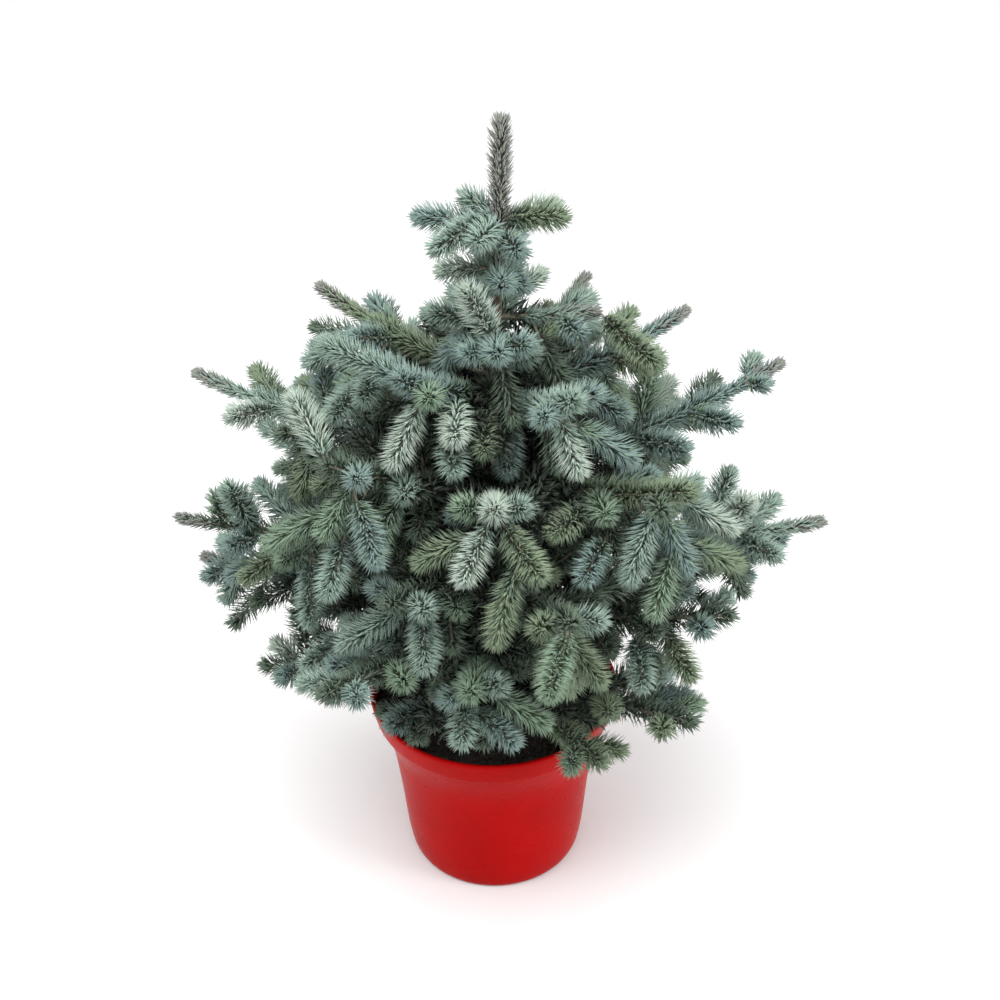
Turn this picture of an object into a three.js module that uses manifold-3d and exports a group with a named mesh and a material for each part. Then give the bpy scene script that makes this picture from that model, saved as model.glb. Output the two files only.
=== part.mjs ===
// Young blue spruce in a round plastic pot.
// Millimetres, +Z up. The origin is the middle of the pot's flat underside.
import * as THREE from "three";
import Module from "manifold-3d";

const wasm = await Module();
wasm.setup();

// ---------------------------------------------------------------- sizes
const GAP = 0.3; // air kept between neighbouring pieces
const SEATING = 0.36; // the same air, measured to the corner of a many-sided piece

const POT_HEIGHT = 215;
const POT_RIM = 130; // outer radius of the rim
const POT_BASE = 86; // radius of the flat underside
const POT_WALL = 2.6;
const POT_FLOOR = 3;
const POT_SIDES = 32;
const LIP_WIDTH = 4.4; // how far the rolled lip reaches inwards
const LIP_DEPTH = 4;
// Outer radius of the wall by height, from the rounded foot to the flared lip.
const POT_PROFILE = [
  [0, POT_BASE], [2.5, 90.2], [9, 93], [30, 96], [90, 101.4], [140, 107.2], [164, 113.6],
  [185, 122], [189, 125.2], [206, POT_RIM - 1], [POT_HEIGHT - 1, POT_RIM],
];
const DRAIN_COUNT = 6;
const DRAIN_RADIUS = 6;
const DRAIN_CIRCLE = 62;
const DRAIN_SIDES = 8;

const SOIL_TOP = 196;
const SOIL_EDGE = 193; // the soil is a little lower at the wall
const SOIL_FLAT = 30; // radius of the level patch round the trunk

const TRUNK_FOOT = SOIL_TOP + GAP;
const TRUNK_TIP = 848;
const TRUNK_LEAN = 18; // how far the tip stands towards +X
const TRUNK_BOW = 5; // how far the middle swings towards -Y
const TRUNK_THICK = 11.4; // radius above the root flare
const TRUNK_THIN = 2.1; // radius at the tip
const FLARE = 8; // extra radius at the foot
const FLARE_HEIGHT = 9;
const TRUNK_SIDES = 10;
const TRUNK_RINGS = 13;

const BOUGH_SIDES = 6;
const BOUGH_RINGS = 3;
const BOUGH_TIP = 3; // radius where a bough meets its foliage
const BOUGH_GROWTH = 0.0085; // extra radius at the trunk for each millimetre of reach
const BOUGH_SHARE = 0.36; // bare wood, as a share of the way to the tip
const BOUGH_HIDDEN = 0.08; // share that lies inside the trunk and its nearest air

const BRUSH = 16.5; // radius of a needled shoot
const CORE = 5.4; // radius between the needles
const NEEDLE_SIDES = 4; // every other side of a ring carries a needle
const NEEDLE_PITCH = 20; // distance between rings of needles
const NEEDLE_LEAN = 8; // how far a needle leans towards the tip of its shoot
const NECK_STEP = 5; // the bare stem grows by this until the needles have room
const NECK_SHARE = 0.45; // most of a limb that may stay bare for want of room
const SHOULDER = 16; // length over which the needles lengthen at the root
const TAPER = 15; // length over which they shorten at the tip
const LAST_NEEDLE = 6; // distance from the tip to the last ring of needles
const SIDE_ROOT = 2.6; // radius of a side shoot where it leaves its stem
const SIDE_BARE = 11; // bare length of a side shoot, most of it sunk in its stem's needles

const LEADER_FROM = 690; // the leader's needles start just below the topmost shoots
const LEADER_TO = 857;
const LEADER_BRUSH = 12.5;
const LEADER_CORE = 8;

const FIRST_PAIR = 46; // distance from the tip of a stem to its first pair of side shoots
const LONG_FIRST_PAIR = 90; // the same on limbs that end in a long single tip
const NODE_SPACING = 62; // distance between pairs of side shoots
const NODE_SPREAD = 0.08; // share by which lengths and spacings vary
const SIDE_ANGLE = 50; // degrees between a side shoot and its stem
const TILT_LOW = -8; // degrees a side shoot leans up from its bough's plane
const TILT_HIGH = 12;
const SIDE_SHORT = 50; // length of the side shoots nearest the tip
const SIDE_GROWTH = 0.3; // extra length for each millimetre further back
const SIDE_LONG = 96;
const SIDE_HOOK = 0.1; // share of its length by which a side shoot turns along its stem
// A side shoot with no room is turned by these degrees and cut to these shares in turn.
const AS_DRAWN = [0, 1];
const TRIES = [AS_DRAWN, [22, 1], [-20, 1], [0, 0.74], [32, 0.74], [-28, 0.74]];
const BARE_SHARE = 0.4; // side shoots start beyond this share of a limb
const CLEARANCE = 1.2; // space kept between the shoots of different masses
const SAMPLE = 6; // spacing of the points that test the space

// Widest reach of the crown by height. Side shoots stay inside it.
const CROWN_PROFILE = [
  [220, 215], [300, 272], [380, 306], [450, 326], [520, 300], [590, 262], [640, 192],
  [680, 126], [720, 92], [780, 76], [870, 20],
];

// Whorls from the ground up, each limb by its azimuth in degrees (from +X, anticlockwise),
// the reach of its tip from the trunk and the height of its tip. A bough carries its
// foliage at its end. A sprig is a foliage mass that springs from the trunk itself.
const BOUGH = "bough";
const SPRIG = "sprig";
const WHORLS = [
  {
    height: 243, sag: 6,
    limbs: [
      [38, 240, 285, BOUGH], [97, 238, 285, SPRIG], [150, 248, 290, BOUGH], [192, 240, 285, BOUGH],
      [223, 148, 243, SPRIG], [266, 132, 246, SPRIG], [303, 200, 250, SPRIG], [320, 256, 302, BOUGH],
    ],
  },
  {
    height: 318, sag: 10,
    limbs: [
      [8, 280, 350, BOUGH], [68, 255, 360, BOUGH], [122, 272, 362, SPRIG], [176, 296, 372, BOUGH],
      [235, 270, 396, BOUGH], [264, 200, 372, SPRIG], [331, 264, 404, BOUGH],
    ],
  },
  {
    height: 398, sag: 14,
    limbs: [
      [40, 295, 440, BOUGH], [95, 284, 440, SPRIG], [146, 290, 440, BOUGH], [184, 308, 452, BOUGH],
      [243, 205, 468, SPRIG], [289, 232, 470, BOUGH], [353, 330, 447, BOUGH],
    ],
  },
  {
    height: 488, sag: 16,
    limbs: [
      [5, 286, 590, BOUGH], [66, 235, 530, SPRIG], [118, 235, 535, SPRIG], [172, 286, 580, BOUGH],
      [222, 200, 590, SPRIG], [272, 165, 560, SPRIG], [322, 235, 560, BOUGH],
    ],
  },
  {
    height: 584, sag: 12,
    limbs: [
      [4, 192, 656, SPRIG], [40, 132, 657, SPRIG], [104, 140, 600, SPRIG], [165, 165, 672, SPRIG],
      [232, 130, 660, SPRIG], [303, 150, 648, SPRIG],
    ],
  },
  {
    height: 648, sag: 2,
    limbs: [
      [70, 90, 672, SPRIG], [208, 62, 682, SPRIG], [276, 100, 676, SPRIG], [348, 110, 674, SPRIG],
    ],
  },
];
// The topmost shoots and the leader's own needles are one mass round the trunk's tip.
const TOP_WHORLS = [
  {
    height: 702, sag: -2,
    limbs: [
      [92, 52, 712, SPRIG], [204, 48, 714, SPRIG], [286, 62, 722, SPRIG],
      [322, 50, 696, SPRIG],
    ],
  },
  {
    height: 752, sag: -2,
    limbs: [
      [12, 72, 764, SPRIG], [165, 22, 779, SPRIG], [180, 64, 760, SPRIG], [232, 74, 754, SPRIG],
      [262, 62, 762, SPRIG], [305, 60, 744, SPRIG], [345, 80, 766, SPRIG],
    ],
  },
];
const STAGGER = 5.5; // neighbours in a whorl leave the trunk one to four of these apart

// Limbs that end in a long single tip.
const LONG_TIPS = ["3_3", "3_4", "3_7", "4_4", "5_1", "5_2", "5_4"];

// Single shoots that fill the crown between the pairs, by limb: share of the way along the
// limb, side (-1 or 1), degrees up from the limb's plane, and length.
const SPURS = {
  "1_4": [[0.6, 1, 20, 90]],
  "1_8": [[0.5, -1, 20, 90]],
  "2_2": [[0.9, 1, 40, 90], [0.45, 1, -20, 90]],
  "2_4": [[0.75, -1, -60, 80]],
  "2_5": [[0.45, 1, 20, 90]],
  "2_6": [[0.4, -1, 20, 90]],
  "2_7": [[0.7, 1, -40, 80]],
  "3_4": [[0.6, 1, 20, 80], [0.75, -1, 60, 90]],
  "3_5": [[0.5, 1, 40, 80], [0.5, -1, -40, 80]],
  "3_6": [[0.4, -1, 40, 90], [0.95, 1, -40, 90]],
  "3_7": [[0.65, -1, 60, 80]],
  "4_1": [[0.5, -1, 40, 90]],
  "4_4": [[0.4, 1, 40, 90], [0.55, 1, 60, 90]],
  "4_5": [[0.4, 1, 60, 80]],
};

// ---------------------------------------------------------------- small maths
const UP = new THREE.Vector3(0, 0, 1);
const radians = THREE.MathUtils.degToRad;
const lerp = THREE.MathUtils.lerp;
const clamp01 = (t) => THREE.MathUtils.clamp(t, 0, 1);
const vec = (x, y, z) => new THREE.Vector3(x, y, z);

function seeded(seed) {
  let state = seed >>> 0;
  return () => {
    state = (state + 0x6d2b79f5) >>> 0;
    let t = state;
    t = Math.imul(t ^ (t >>> 15), t | 1);
    t ^= t + Math.imul(t ^ (t >>> 7), t | 61);
    return ((t ^ (t >>> 14)) >>> 0) / 4294967296;
  };
}

function between(rows, at) {
  const next = rows.findIndex(([key]) => key >= at);
  if (next <= 0) return rows[0][1];
  const [k0, v0] = rows[next - 1];
  const [k1, v1] = rows[next];
  return lerp(v0, v1, (at - k0) / (k1 - k0));
}

// A smooth arc from start to end whose middle is moved by `bend`.
function arc(start, end, bend) {
  const middle = start.clone().lerp(end, 0.5).addScaledVector(bend, 2);
  return new THREE.QuadraticBezierCurve3(start, middle, end);
}

// Side and upward directions square to a direction.
function squareTo(direction) {
  const side = direction.clone().cross(UP);
  if (side.length() < 0.05) side.set(0, -1, 0);
  side.normalize();
  return { side, up: side.clone().cross(direction).normalize() };
}

// ---------------------------------------------------------------- closed lofts
function ringOf(centre, direction, radii, forward) {
  const { side, up } = squareTo(direction);
  return radii.map((radius, i) => {
    const angle = (2 * Math.PI * i) / radii.length;
    return centre.clone()
      .addScaledVector(side, radius * Math.cos(angle))
      .addScaledVector(up, radius * Math.sin(angle))
      .addScaledVector(direction, forward ? forward[i] : 0);
  });
}

// Closed skin over rings of equal count, with a flat start and a flat or pointed end.
// `flip(ring, i)` picks the diagonal of each four-sided patch.
function loft(rings, startPoint, endPoint, flip = () => false) {
  const count = rings[0].length;
  const points = rings.flat().concat([startPoint, endPoint]);
  const start = points.length - 2;
  const end = points.length - 1;
  const faces = [];
  for (let i = 0; i < count; i += 1) {
    const j = (i + 1) % count;
    const last = (rings.length - 1) * count;
    faces.push([start, i, j], [end, last + j, last + i]);
    for (let r = 0; r + 1 < rings.length; r += 1) {
      const [a, b] = [r * count + i, r * count + j];
      const [c, d] = [a + count, b + count];
      if (flip(r, i)) faces.push([a, c, b], [b, c, d]);
      else faces.push([a, d, b], [a, c, d]);
    }
  }
  return { points, faces };
}

function toSolid({ points, faces }) {
  const vertProperties = new Float32Array(points.flatMap((p) => p.toArray()));
  const triVerts = new Uint32Array(faces.flat());
  return new wasm.Manifold(new wasm.Mesh({ numProp: 3, vertProperties, triVerts }));
}

function toGeometry(solid) {
  const mesh = solid.getMesh();
  const geometry = new THREE.BufferGeometry();
  const coordinates = [];
  for (let v = 0; v < mesh.vertProperties.length; v += mesh.numProp) {
    coordinates.push(...mesh.vertProperties.slice(v, v + 3));
  }
  geometry.setAttribute("position", new THREE.Float32BufferAttribute(coordinates, 3));
  geometry.setIndex([...mesh.triVerts]);
  geometry.computeVertexNormals();
  return geometry;
}

// Round limb along a curve, its radius given by the share of the way along.
function limb(curve, from, to, rings, sides, radiusAt) {
  const sections = [];
  for (let r = 0; r <= rings; r += 1) {
    const t = lerp(from, to, r / rings);
    const radii = new Array(sides).fill(radiusAt(r / rings));
    sections.push(ringOf(curve.getPoint(t), curve.getTangent(t), radii));
  }
  return loft(sections, curve.getPoint(from), curve.getPoint(to));
}

// ---------------------------------------------------------------- pot and soil
const potRadius = (height) => between(POT_PROFILE, height);

function potGeometry() {
  const outside = POT_PROFILE.map(([z, r]) => new THREE.Vector2(r, z));
  const lip = [
    [POT_RIM - 2, POT_HEIGHT], [POT_RIM - LIP_WIDTH, POT_HEIGHT - 1],
    [POT_RIM - LIP_WIDTH, POT_HEIGHT - LIP_DEPTH],
  ].map(([r, z]) => new THREE.Vector2(r, z));
  const inside = [190, 164, 140, 90, 30, 9]
    .map((z) => new THREE.Vector2(potRadius(z) - POT_WALL, z));
  const floor = [
    new THREE.Vector2(POT_BASE, POT_FLOOR), new THREE.Vector2(0, POT_FLOOR),
  ];
  const profile = [new THREE.Vector2(0, 0), ...outside, ...lip, ...inside, ...floor];
  return new THREE.LatheGeometry(profile, POT_SIDES);
}

function soilGeometry() {
  const sides = [9, 30, 90, 140, 164]
    .map((z) => new THREE.Vector2(potRadius(z) - POT_WALL - SEATING, z));
  const edge = potRadius(SOIL_EDGE - 4) - POT_WALL - SEATING;
  const profile = [
    new THREE.Vector2(0, POT_FLOOR + GAP),
    new THREE.Vector2(POT_BASE - 1, POT_FLOOR + GAP),
    ...sides,
    new THREE.Vector2(edge - 1.5, SOIL_EDGE),
    new THREE.Vector2(edge * 0.6, SOIL_TOP - 1),
    new THREE.Vector2(SOIL_FLAT, SOIL_TOP),
    new THREE.Vector2(0, SOIL_TOP),
  ];
  return new THREE.LatheGeometry(profile, POT_SIDES);
}

// Turned geometry as a solid with shared corners.
function turnedSolid(geometry) {
  const position = geometry.getAttribute("position");
  const index = geometry.getIndex();
  const keys = new Map();
  const points = [];
  const shared = [];
  for (let v = 0; v < position.count; v += 1) {
    const point = vec(position.getX(v), position.getZ(v), position.getY(v));
    const key = point.toArray().map((n) => Math.round(n * 1e4)).join();
    if (!keys.has(key)) {
      keys.set(key, points.length);
      points.push(point);
    }
    shared.push(keys.get(key));
  }
  const faces = [];
  for (let f = 0; f < index.count; f += 3) {
    const [a, b, c] = [0, 1, 2].map((k) => shared[index.getX(f + k)]);
    if (a !== b && b !== c && c !== a) faces.push([a, c, b]);
  }
  return toSolid({ points, faces });
}

function drainHole(index) {
  const angle = (2 * Math.PI * index) / DRAIN_COUNT;
  const at = vec(DRAIN_CIRCLE * Math.cos(angle), DRAIN_CIRCLE * Math.sin(angle), -1);
  const above = at.clone().setZ(POT_FLOOR + 1);
  const line = new THREE.LineCurve3(at, above);
  return toSolid(limb(line, 0, 1, 1, DRAIN_SIDES, () => DRAIN_RADIUS));
}

function potSolid() {
  let pot = turnedSolid(potGeometry());
  for (let i = 0; i < DRAIN_COUNT; i += 1) pot = pot.subtract(drainHole(i));
  return pot;
}

// ---------------------------------------------------------------- trunk
function trunkPoint(height) {
  const t = clamp01((height - TRUNK_FOOT) / (TRUNK_TIP - TRUNK_FOOT));
  return vec(TRUNK_LEAN * t ** 1.6, -TRUNK_BOW * Math.sin(Math.PI * t), height);
}

function trunkRadius(height) {
  const t = clamp01((height - TRUNK_FOOT) / (TRUNK_TIP - TRUNK_FOOT));
  const flare = FLARE * Math.exp((TRUNK_FOOT - height) / FLARE_HEIGHT);
  return lerp(TRUNK_THICK, TRUNK_THIN, t) + flare;
}

function trunkSolid(extra) {
  const rings = [];
  for (let r = 0; r <= TRUNK_RINGS; r += 1) {
    const height = lerp(TRUNK_FOOT, TRUNK_TIP, (r / TRUNK_RINGS) ** 1.7);
    const shift = r === TRUNK_RINGS ? extra : 0;
    const centre = trunkPoint(height).addScaledVector(UP, shift);
    const radii = new Array(TRUNK_SIDES).fill(trunkRadius(height) + extra);
    rings.push(ringOf(centre, UP, radii));
  }
  const foot = trunkPoint(TRUNK_FOOT);
  const tip = trunkPoint(TRUNK_TIP).addScaledVector(UP, extra);
  return toSolid(loft(rings, foot, tip));
}

// ---------------------------------------------------------------- skeleton
// Every limb as a curve from the trunk's axis to its tip.
function buildLimbs(whorls, firstNumber) {
  return whorls.flatMap((whorl, w) => whorl.limbs.map((row, i) => {
    const [azimuth, reach, tipHeight, kind] = row;
    const angle = radians(azimuth);
    const start = trunkPoint(whorl.height + STAGGER * ((3 * i) % 5 - 2));
    const end = vec(reach * Math.cos(angle), reach * Math.sin(angle), tipHeight);
    return {
      id: `${w + firstNumber}_${i + 1}`,
      seed: 1000 * (w + firstNumber) + 10 * i,
      wood: kind === BOUGH,
      reach,
      curve: arc(start, end, vec(0, 0, -whorl.sag)),
    };
  }));
}

// ---------------------------------------------------------------- room for the shoots
const taken = [];

function alongCurve(curve, from, to) {
  const length = curve.getLength() * (to - from);
  const steps = Math.max(2, Math.ceil(length / SAMPLE));
  return Array.from({ length: steps + 1 }, (_, i) => curve.getPoint(lerp(from, to, i / steps)));
}

function claim(points, radius, owner) {
  points.forEach((point) => taken.push({ point, radius, owner }));
}

function insideCrown(points, radius) {
  return points.every((p) => p.z > POT_HEIGHT + radius + CLEARANCE
    && Math.hypot(p.x, p.y) < between(CROWN_PROFILE, p.z));
}

function clearOfOthers(points, radius, owner) {
  return taken.every((other) => {
    if (other.owner === owner) return true;
    const reach = other.radius + radius + CLEARANCE;
    return points.every((p) => p.distanceToSquared(other.point) > reach * reach);
  });
}

// ---------------------------------------------------------------- growth rule
// One side shoot: leaves the stem at SIDE_ANGLE, then turns a little towards its tip.
function sideShoot(at, along, sign, length, lift) {
  const { side, up } = squareTo(along);
  const angle = radians(SIDE_ANGLE);
  const level = along.clone().multiplyScalar(Math.cos(angle))
    .addScaledVector(side, sign * Math.sin(angle));
  const heading = level.multiplyScalar(Math.cos(lift)).addScaledVector(up, Math.sin(lift));
  const end = at.clone().addScaledVector(heading, length * (1 - SIDE_HOOK))
    .addScaledVector(along, length * SIDE_HOOK);
  return arc(at.clone(), end, along.clone().multiplyScalar(-length * SIDE_HOOK / 3));
}

// The first of the tries for a side shoot that stays in the crown and touches no other
// mass, or nothing if none does.
function fitSideShoot(id, at, along, sign, full, tilt, tries = TRIES) {
  for (const [turn, share] of tries) {
    const curve = sideShoot(at, along, sign, full * share, tilt + radians(turn));
    const bareTo = SIDE_BARE / curve.getLength();
    const outer = alongCurve(curve, bareTo, 1);
    if (insideCrown(outer, BRUSH) && clearOfOthers(outer, BRUSH, id)) {
      claim(outer, BRUSH, id);
      return [{ curve, from: 0, bareTo }];
    }
  }
  return [];
}

// The stem, and pairs of side shoots set from its tip backwards.
function growMass({ curve, seed, id, from, bareTo }) {
  const random = seeded(seed);
  const vary = () => lerp(1 - NODE_SPREAD, 1 + NODE_SPREAD, random());
  const length = curve.getLength();
  const shoots = [{ curve, from, bareTo }];
  const step = NODE_SPACING * vary();
  const first = LONG_TIPS.includes(id) ? LONG_FIRST_PAIR : FIRST_PAIR;
  for (let back = first; back < length * (1 - BARE_SHARE); back += step) {
    const t = 1 - back / length;
    const grown = Math.min(SIDE_LONG, SIDE_SHORT + SIDE_GROWTH * (back - FIRST_PAIR));
    for (const sign of [-1, 1]) {
      const full = grown * vary();
      const tilt = radians(lerp(TILT_LOW, TILT_HIGH, random()));
      shoots.push(...fitSideShoot(id, curve.getPoint(t), curve.getTangent(t), sign, full, tilt));
    }
  }
  return shoots;
}

// The spurs of one limb, each left out where it has no room.
function growSpurs({ curve, id }) {
  return (SPURS[id] ?? []).flatMap(([share, sign, lift, length]) => {
    const [at, along] = [curve.getPoint(share), curve.getTangent(share)];
    return fitSideShoot(id, at, along, sign, length, radians(lift), [AS_DRAWN]);
  });
}

// ---------------------------------------------------------------- needled shoots
// Shares of the full size along the needled part of a shoot, at its root and at its tip.
const shoulderShare = (s) => lerp(0.5, 1, clamp01(s / SHOULDER));
const taperShare = (left) => lerp(0.45, 1, clamp01(left / TAPER));

// A slim core with needles that stand out all round and lean towards the tip. The shoot
// starts as a bare stem at `from` and carries needles beyond `bareTo`.
function brushSolid({ curve, from, bareTo }, rootRadius, radius = BRUSH, core = CORE) {
  const whole = curve.getLength();
  const length = whole * (1 - from);
  const bare = whole * (bareTo - from);
  const flat = new Array(NEEDLE_SIDES).fill(rootRadius);
  const rings = [ringOf(curve.getPoint(from), curve.getTangent(from), flat)];
  const count = Math.max(2, Math.round((length - bare - LAST_NEEDLE) / NEEDLE_PITCH));
  for (let r = 0; r <= count; r += 1) {
    const s = lerp(bare, length - LAST_NEEDLE, r / count);
    const t = from + s / whole;
    const taper = taperShare(length - s);
    const needle = taper * shoulderShare(s - bare);
    const isNeedle = (i) => (i + r) % 2 === 0;
    const radii = flat.map((_, i) => (isNeedle(i) ? radius * needle : core * taper));
    const forward = flat.map((_, i) => (isNeedle(i) ? NEEDLE_LEAN * needle : 0));
    rings.push(ringOf(curve.getPoint(t), curve.getTangent(t), radii, forward));
  }
  const flip = (ring, i) => ring > 0 && (i + ring) % 2 === 1;
  return toSolid(loft(rings, curve.getPoint(from), curve.getPoint(1), flip));
}

function massSolid(shoots) {
  const [stem, ...sides] = shoots;
  let solid = brushSolid(stem, BOUGH_TIP);
  sides.forEach((side) => {
    solid = solid.add(brushSolid(side, SIDE_ROOT));
  });
  return solid;
}

// ---------------------------------------------------------------- the whole plant
const MATERIALS = {
  pot: new THREE.MeshStandardMaterial({ color: 0xb4171a, roughness: 0.35, metalness: 0 }),
  soil: new THREE.MeshStandardMaterial({ color: 0x1f1813, roughness: 0.95, metalness: 0 }),
  bark: new THREE.MeshStandardMaterial({ color: 0x5b4636, roughness: 0.9, metalness: 0 }),
  needles: new THREE.MeshStandardMaterial({ color: 0x5f7670, roughness: 0.7, metalness: 0 }),
};

const plant = new THREE.Group();
plant.name = "potted_blue_spruce";

function place(name, solid, material) {
  const mesh = new THREE.Mesh(toGeometry(solid), material.clone());
  mesh.name = name;
  plant.add(mesh);
}

// Where a limb's wood ends and its needles begin, as shares of its length.
function measureLimb(row) {
  const length = row.curve.getLength();
  const edge = trunkRadius(row.curve.getPoint(0).z) / length;
  row.from = row.wood ? BOUGH_SHARE + GAP / length : edge / 2;
  row.bareTo = Math.max(row.from, edge) + NECK_STEP / length;
}

// The needles of a stem begin where they have room among the stems already placed.
function claimStem(row) {
  const step = NECK_STEP / row.curve.getLength();
  const blocked = () => !clearOfOthers(alongCurve(row.curve, row.bareTo, 1), BRUSH, row.id);
  while (row.bareTo < NECK_SHARE && blocked()) row.bareTo += step;
  claim(alongCurve(row.curve, row.bareTo, 1), BRUSH, row.id);
}

const trunkSpace = trunkSolid(SEATING);
const leaderTip = trunkPoint(TRUNK_TIP).setZ(LEADER_TO);
const leaderAxis = new THREE.LineCurve3(trunkPoint(LEADER_FROM), leaderTip);
const leaderShoot = { curve: leaderAxis, from: 0, bareTo: NECK_STEP / leaderAxis.getLength() };
const limbs = buildLimbs(WHORLS, 1);
const topLimbs = buildLimbs(TOP_WHORLS, WHORLS.length + 1);

function claimFrame() {
  for (let height = TRUNK_FOOT; height < TRUNK_TIP; height += SAMPLE) {
    claim([trunkPoint(height)], trunkRadius(height), "trunk");
  }
  for (const row of limbs) {
    claim(alongCurve(row.curve, BOUGH_HIDDEN, row.bareTo), BOUGH_TIP * 1.5, row.id);
  }
  claim(alongCurve(leaderAxis, 0, 1), LEADER_BRUSH, "leader");
  topLimbs.forEach((row) => claim(alongCurve(row.curve, row.bareTo, 1), BRUSH, "leader"));
  limbs.forEach(claimStem);
}

function leaderMass() {
  let solid = brushSolid(leaderShoot, LEADER_CORE, LEADER_BRUSH, LEADER_CORE);
  topLimbs.forEach((row) => {
    solid = solid.add(brushSolid(row, BOUGH_TIP));
  });
  return solid.subtract(trunkSpace);
}

function boughSolid(row) {
  const thick = BOUGH_TIP + row.reach * BOUGH_GROWTH;
  const taper = (t) => lerp(thick, BOUGH_TIP, t);
  const wood = limb(row.curve, 0, BOUGH_SHARE, BOUGH_RINGS, BOUGH_SIDES, taper);
  return toSolid(wood).subtract(trunkSpace);
}

function placeLimb(row) {
  if (row.wood) place(`bough_${row.id}`, boughSolid(row), MATERIALS.bark);
  const mass = massSolid(row.shoots);
  place(`foliage_${row.id}`, row.wood ? mass : mass.subtract(trunkSpace), MATERIALS.needles);
}

[...limbs, ...topLimbs].forEach(measureLimb);
claimFrame();
place("pot", potSolid(), MATERIALS.pot);
place("soil", turnedSolid(soilGeometry()), MATERIALS.soil);
place("trunk", trunkSolid(0), MATERIALS.bark);
place("foliage_leader", leaderMass(), MATERIALS.needles);
limbs.forEach((row) => {
  row.shoots = growMass(row);
});
limbs.forEach((row) => row.shoots.push(...growSpurs(row)));
limbs.forEach(placeLimb);

export default plant;
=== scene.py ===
import math
from types import SimpleNamespace

import bpy
import numpy as np
from mathutils import Matrix, Vector


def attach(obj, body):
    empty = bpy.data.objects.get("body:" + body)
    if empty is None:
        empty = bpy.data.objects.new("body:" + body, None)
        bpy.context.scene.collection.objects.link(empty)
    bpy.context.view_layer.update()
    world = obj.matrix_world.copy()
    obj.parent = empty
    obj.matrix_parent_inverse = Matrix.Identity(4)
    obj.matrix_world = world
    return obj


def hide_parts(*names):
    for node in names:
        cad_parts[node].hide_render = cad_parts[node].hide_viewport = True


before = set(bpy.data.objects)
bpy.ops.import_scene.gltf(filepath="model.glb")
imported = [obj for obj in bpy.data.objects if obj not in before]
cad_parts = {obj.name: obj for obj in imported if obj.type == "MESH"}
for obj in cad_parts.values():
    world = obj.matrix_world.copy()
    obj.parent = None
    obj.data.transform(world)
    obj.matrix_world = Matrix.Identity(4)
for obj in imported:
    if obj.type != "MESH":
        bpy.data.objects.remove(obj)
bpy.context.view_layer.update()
FOLIAGE_NODES = sorted(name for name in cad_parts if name.startswith("foliage_"))
BOUGH_NODES = sorted(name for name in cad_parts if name.startswith("bough_"))
print("solids:", len(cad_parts), "of them foliage:", len(FOLIAGE_NODES))

# %% [markdown]
# ## The studio
#
# The plant is looked at from above, from almost two metres away, with a long lens, so that the pot
# hardly narrows. Big soft lamps give the pot quiet reflections and let light sink between the
# shoots.
# %% Camera
CAMERA_AIM = Vector((0.011, 0.0, 0.449))
CAMERA_DISTANCE = 1.9
CAMERA_PITCH = math.radians(36.0)  # how far it looks down
CAMERA_ROLL = math.radians(-1.0)
CAMERA_LENS = 70.06  # mm, on a 36 mm sensor
CAMERA_FAR = 60.0


def add_camera():
    back = Vector((0.0, -math.cos(CAMERA_PITCH), math.sin(CAMERA_PITCH)))
    tilt = Matrix.Rotation(math.pi / 2 - CAMERA_PITCH, 3, "X")
    turn = tilt @ Matrix.Rotation(CAMERA_ROLL, 3, "Z")
    place = CAMERA_AIM + back * CAMERA_DISTANCE
    bpy.ops.object.camera_add(location=place, rotation=turn.to_euler())
    camera = bpy.context.object
    camera.data.lens = CAMERA_LENS
    camera.data.clip_end = CAMERA_FAR
    bpy.context.scene.camera = camera
    return camera


camera = add_camera()
print("camera stands at", tuple(round(v, 3) for v in camera.location))

# %% Lights
LIGHTS = (
    # name, where it stands, width, height, power in watts
    ("window_left", (-2.3, -0.9, 1.3), 1.5, 2.2, 19.0),
    ("window_right", (2.4, -1.1, 1.2), 1.0, 2.0, 44.0),
    ("ceiling", (-0.3, -0.7, 3.1), 2.6, 2.6, 96.0),
)
LIGHT_AIM = Vector((0.0, 0.0, 0.4))


def add_light(name, place, width, height, watts):
    aim = (LIGHT_AIM - Vector(place)).to_track_quat("-Z", "Y").to_euler()
    bpy.ops.object.light_add(type="AREA", location=place, rotation=aim)
    lamp = bpy.context.object
    lamp.name = name
    lamp.data.shape = "RECTANGLE"
    lamp.data.size = width
    lamp.data.size_y = height
    lamp.data.energy = watts


for row in LIGHTS:
    add_light(*row)

world = bpy.data.worlds.new("pale_room")
world.use_nodes = True
bpy.context.scene.world = world
bpy.context.scene.view_settings.view_transform = "Standard"
daylight = world.node_tree.nodes["Background"]
daylight.inputs["Color"].default_value = (1.0, 1.0, 1.0, 1.0)
daylight.inputs["Strength"].default_value = 1.0
print("lamps:", [row[0] for row in LIGHTS])

# %% [markdown]
# ## Finishes
#
# Every finish is made from nodes, with no pictures. A pattern reads the object's own coordinates,
# so it stays put when the camera moves. Needles get plain colours: a pattern on them would be
# lost, and the play of colour in the crown comes from dealing out several tints, among them
# painted shade and painted light.
# %% Helpers for finishes
def new_finish(name, colour, roughness):
    """A material with one principled shader, its node tree and that shader."""
    finish = bpy.data.materials.new(name)
    finish.use_nodes = True
    tree = finish.node_tree
    shader = tree.nodes["Principled BSDF"]
    shader.inputs["Base Color"].default_value = (*colour, 1.0)
    shader.inputs["Roughness"].default_value = roughness
    return finish, tree, shader


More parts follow.
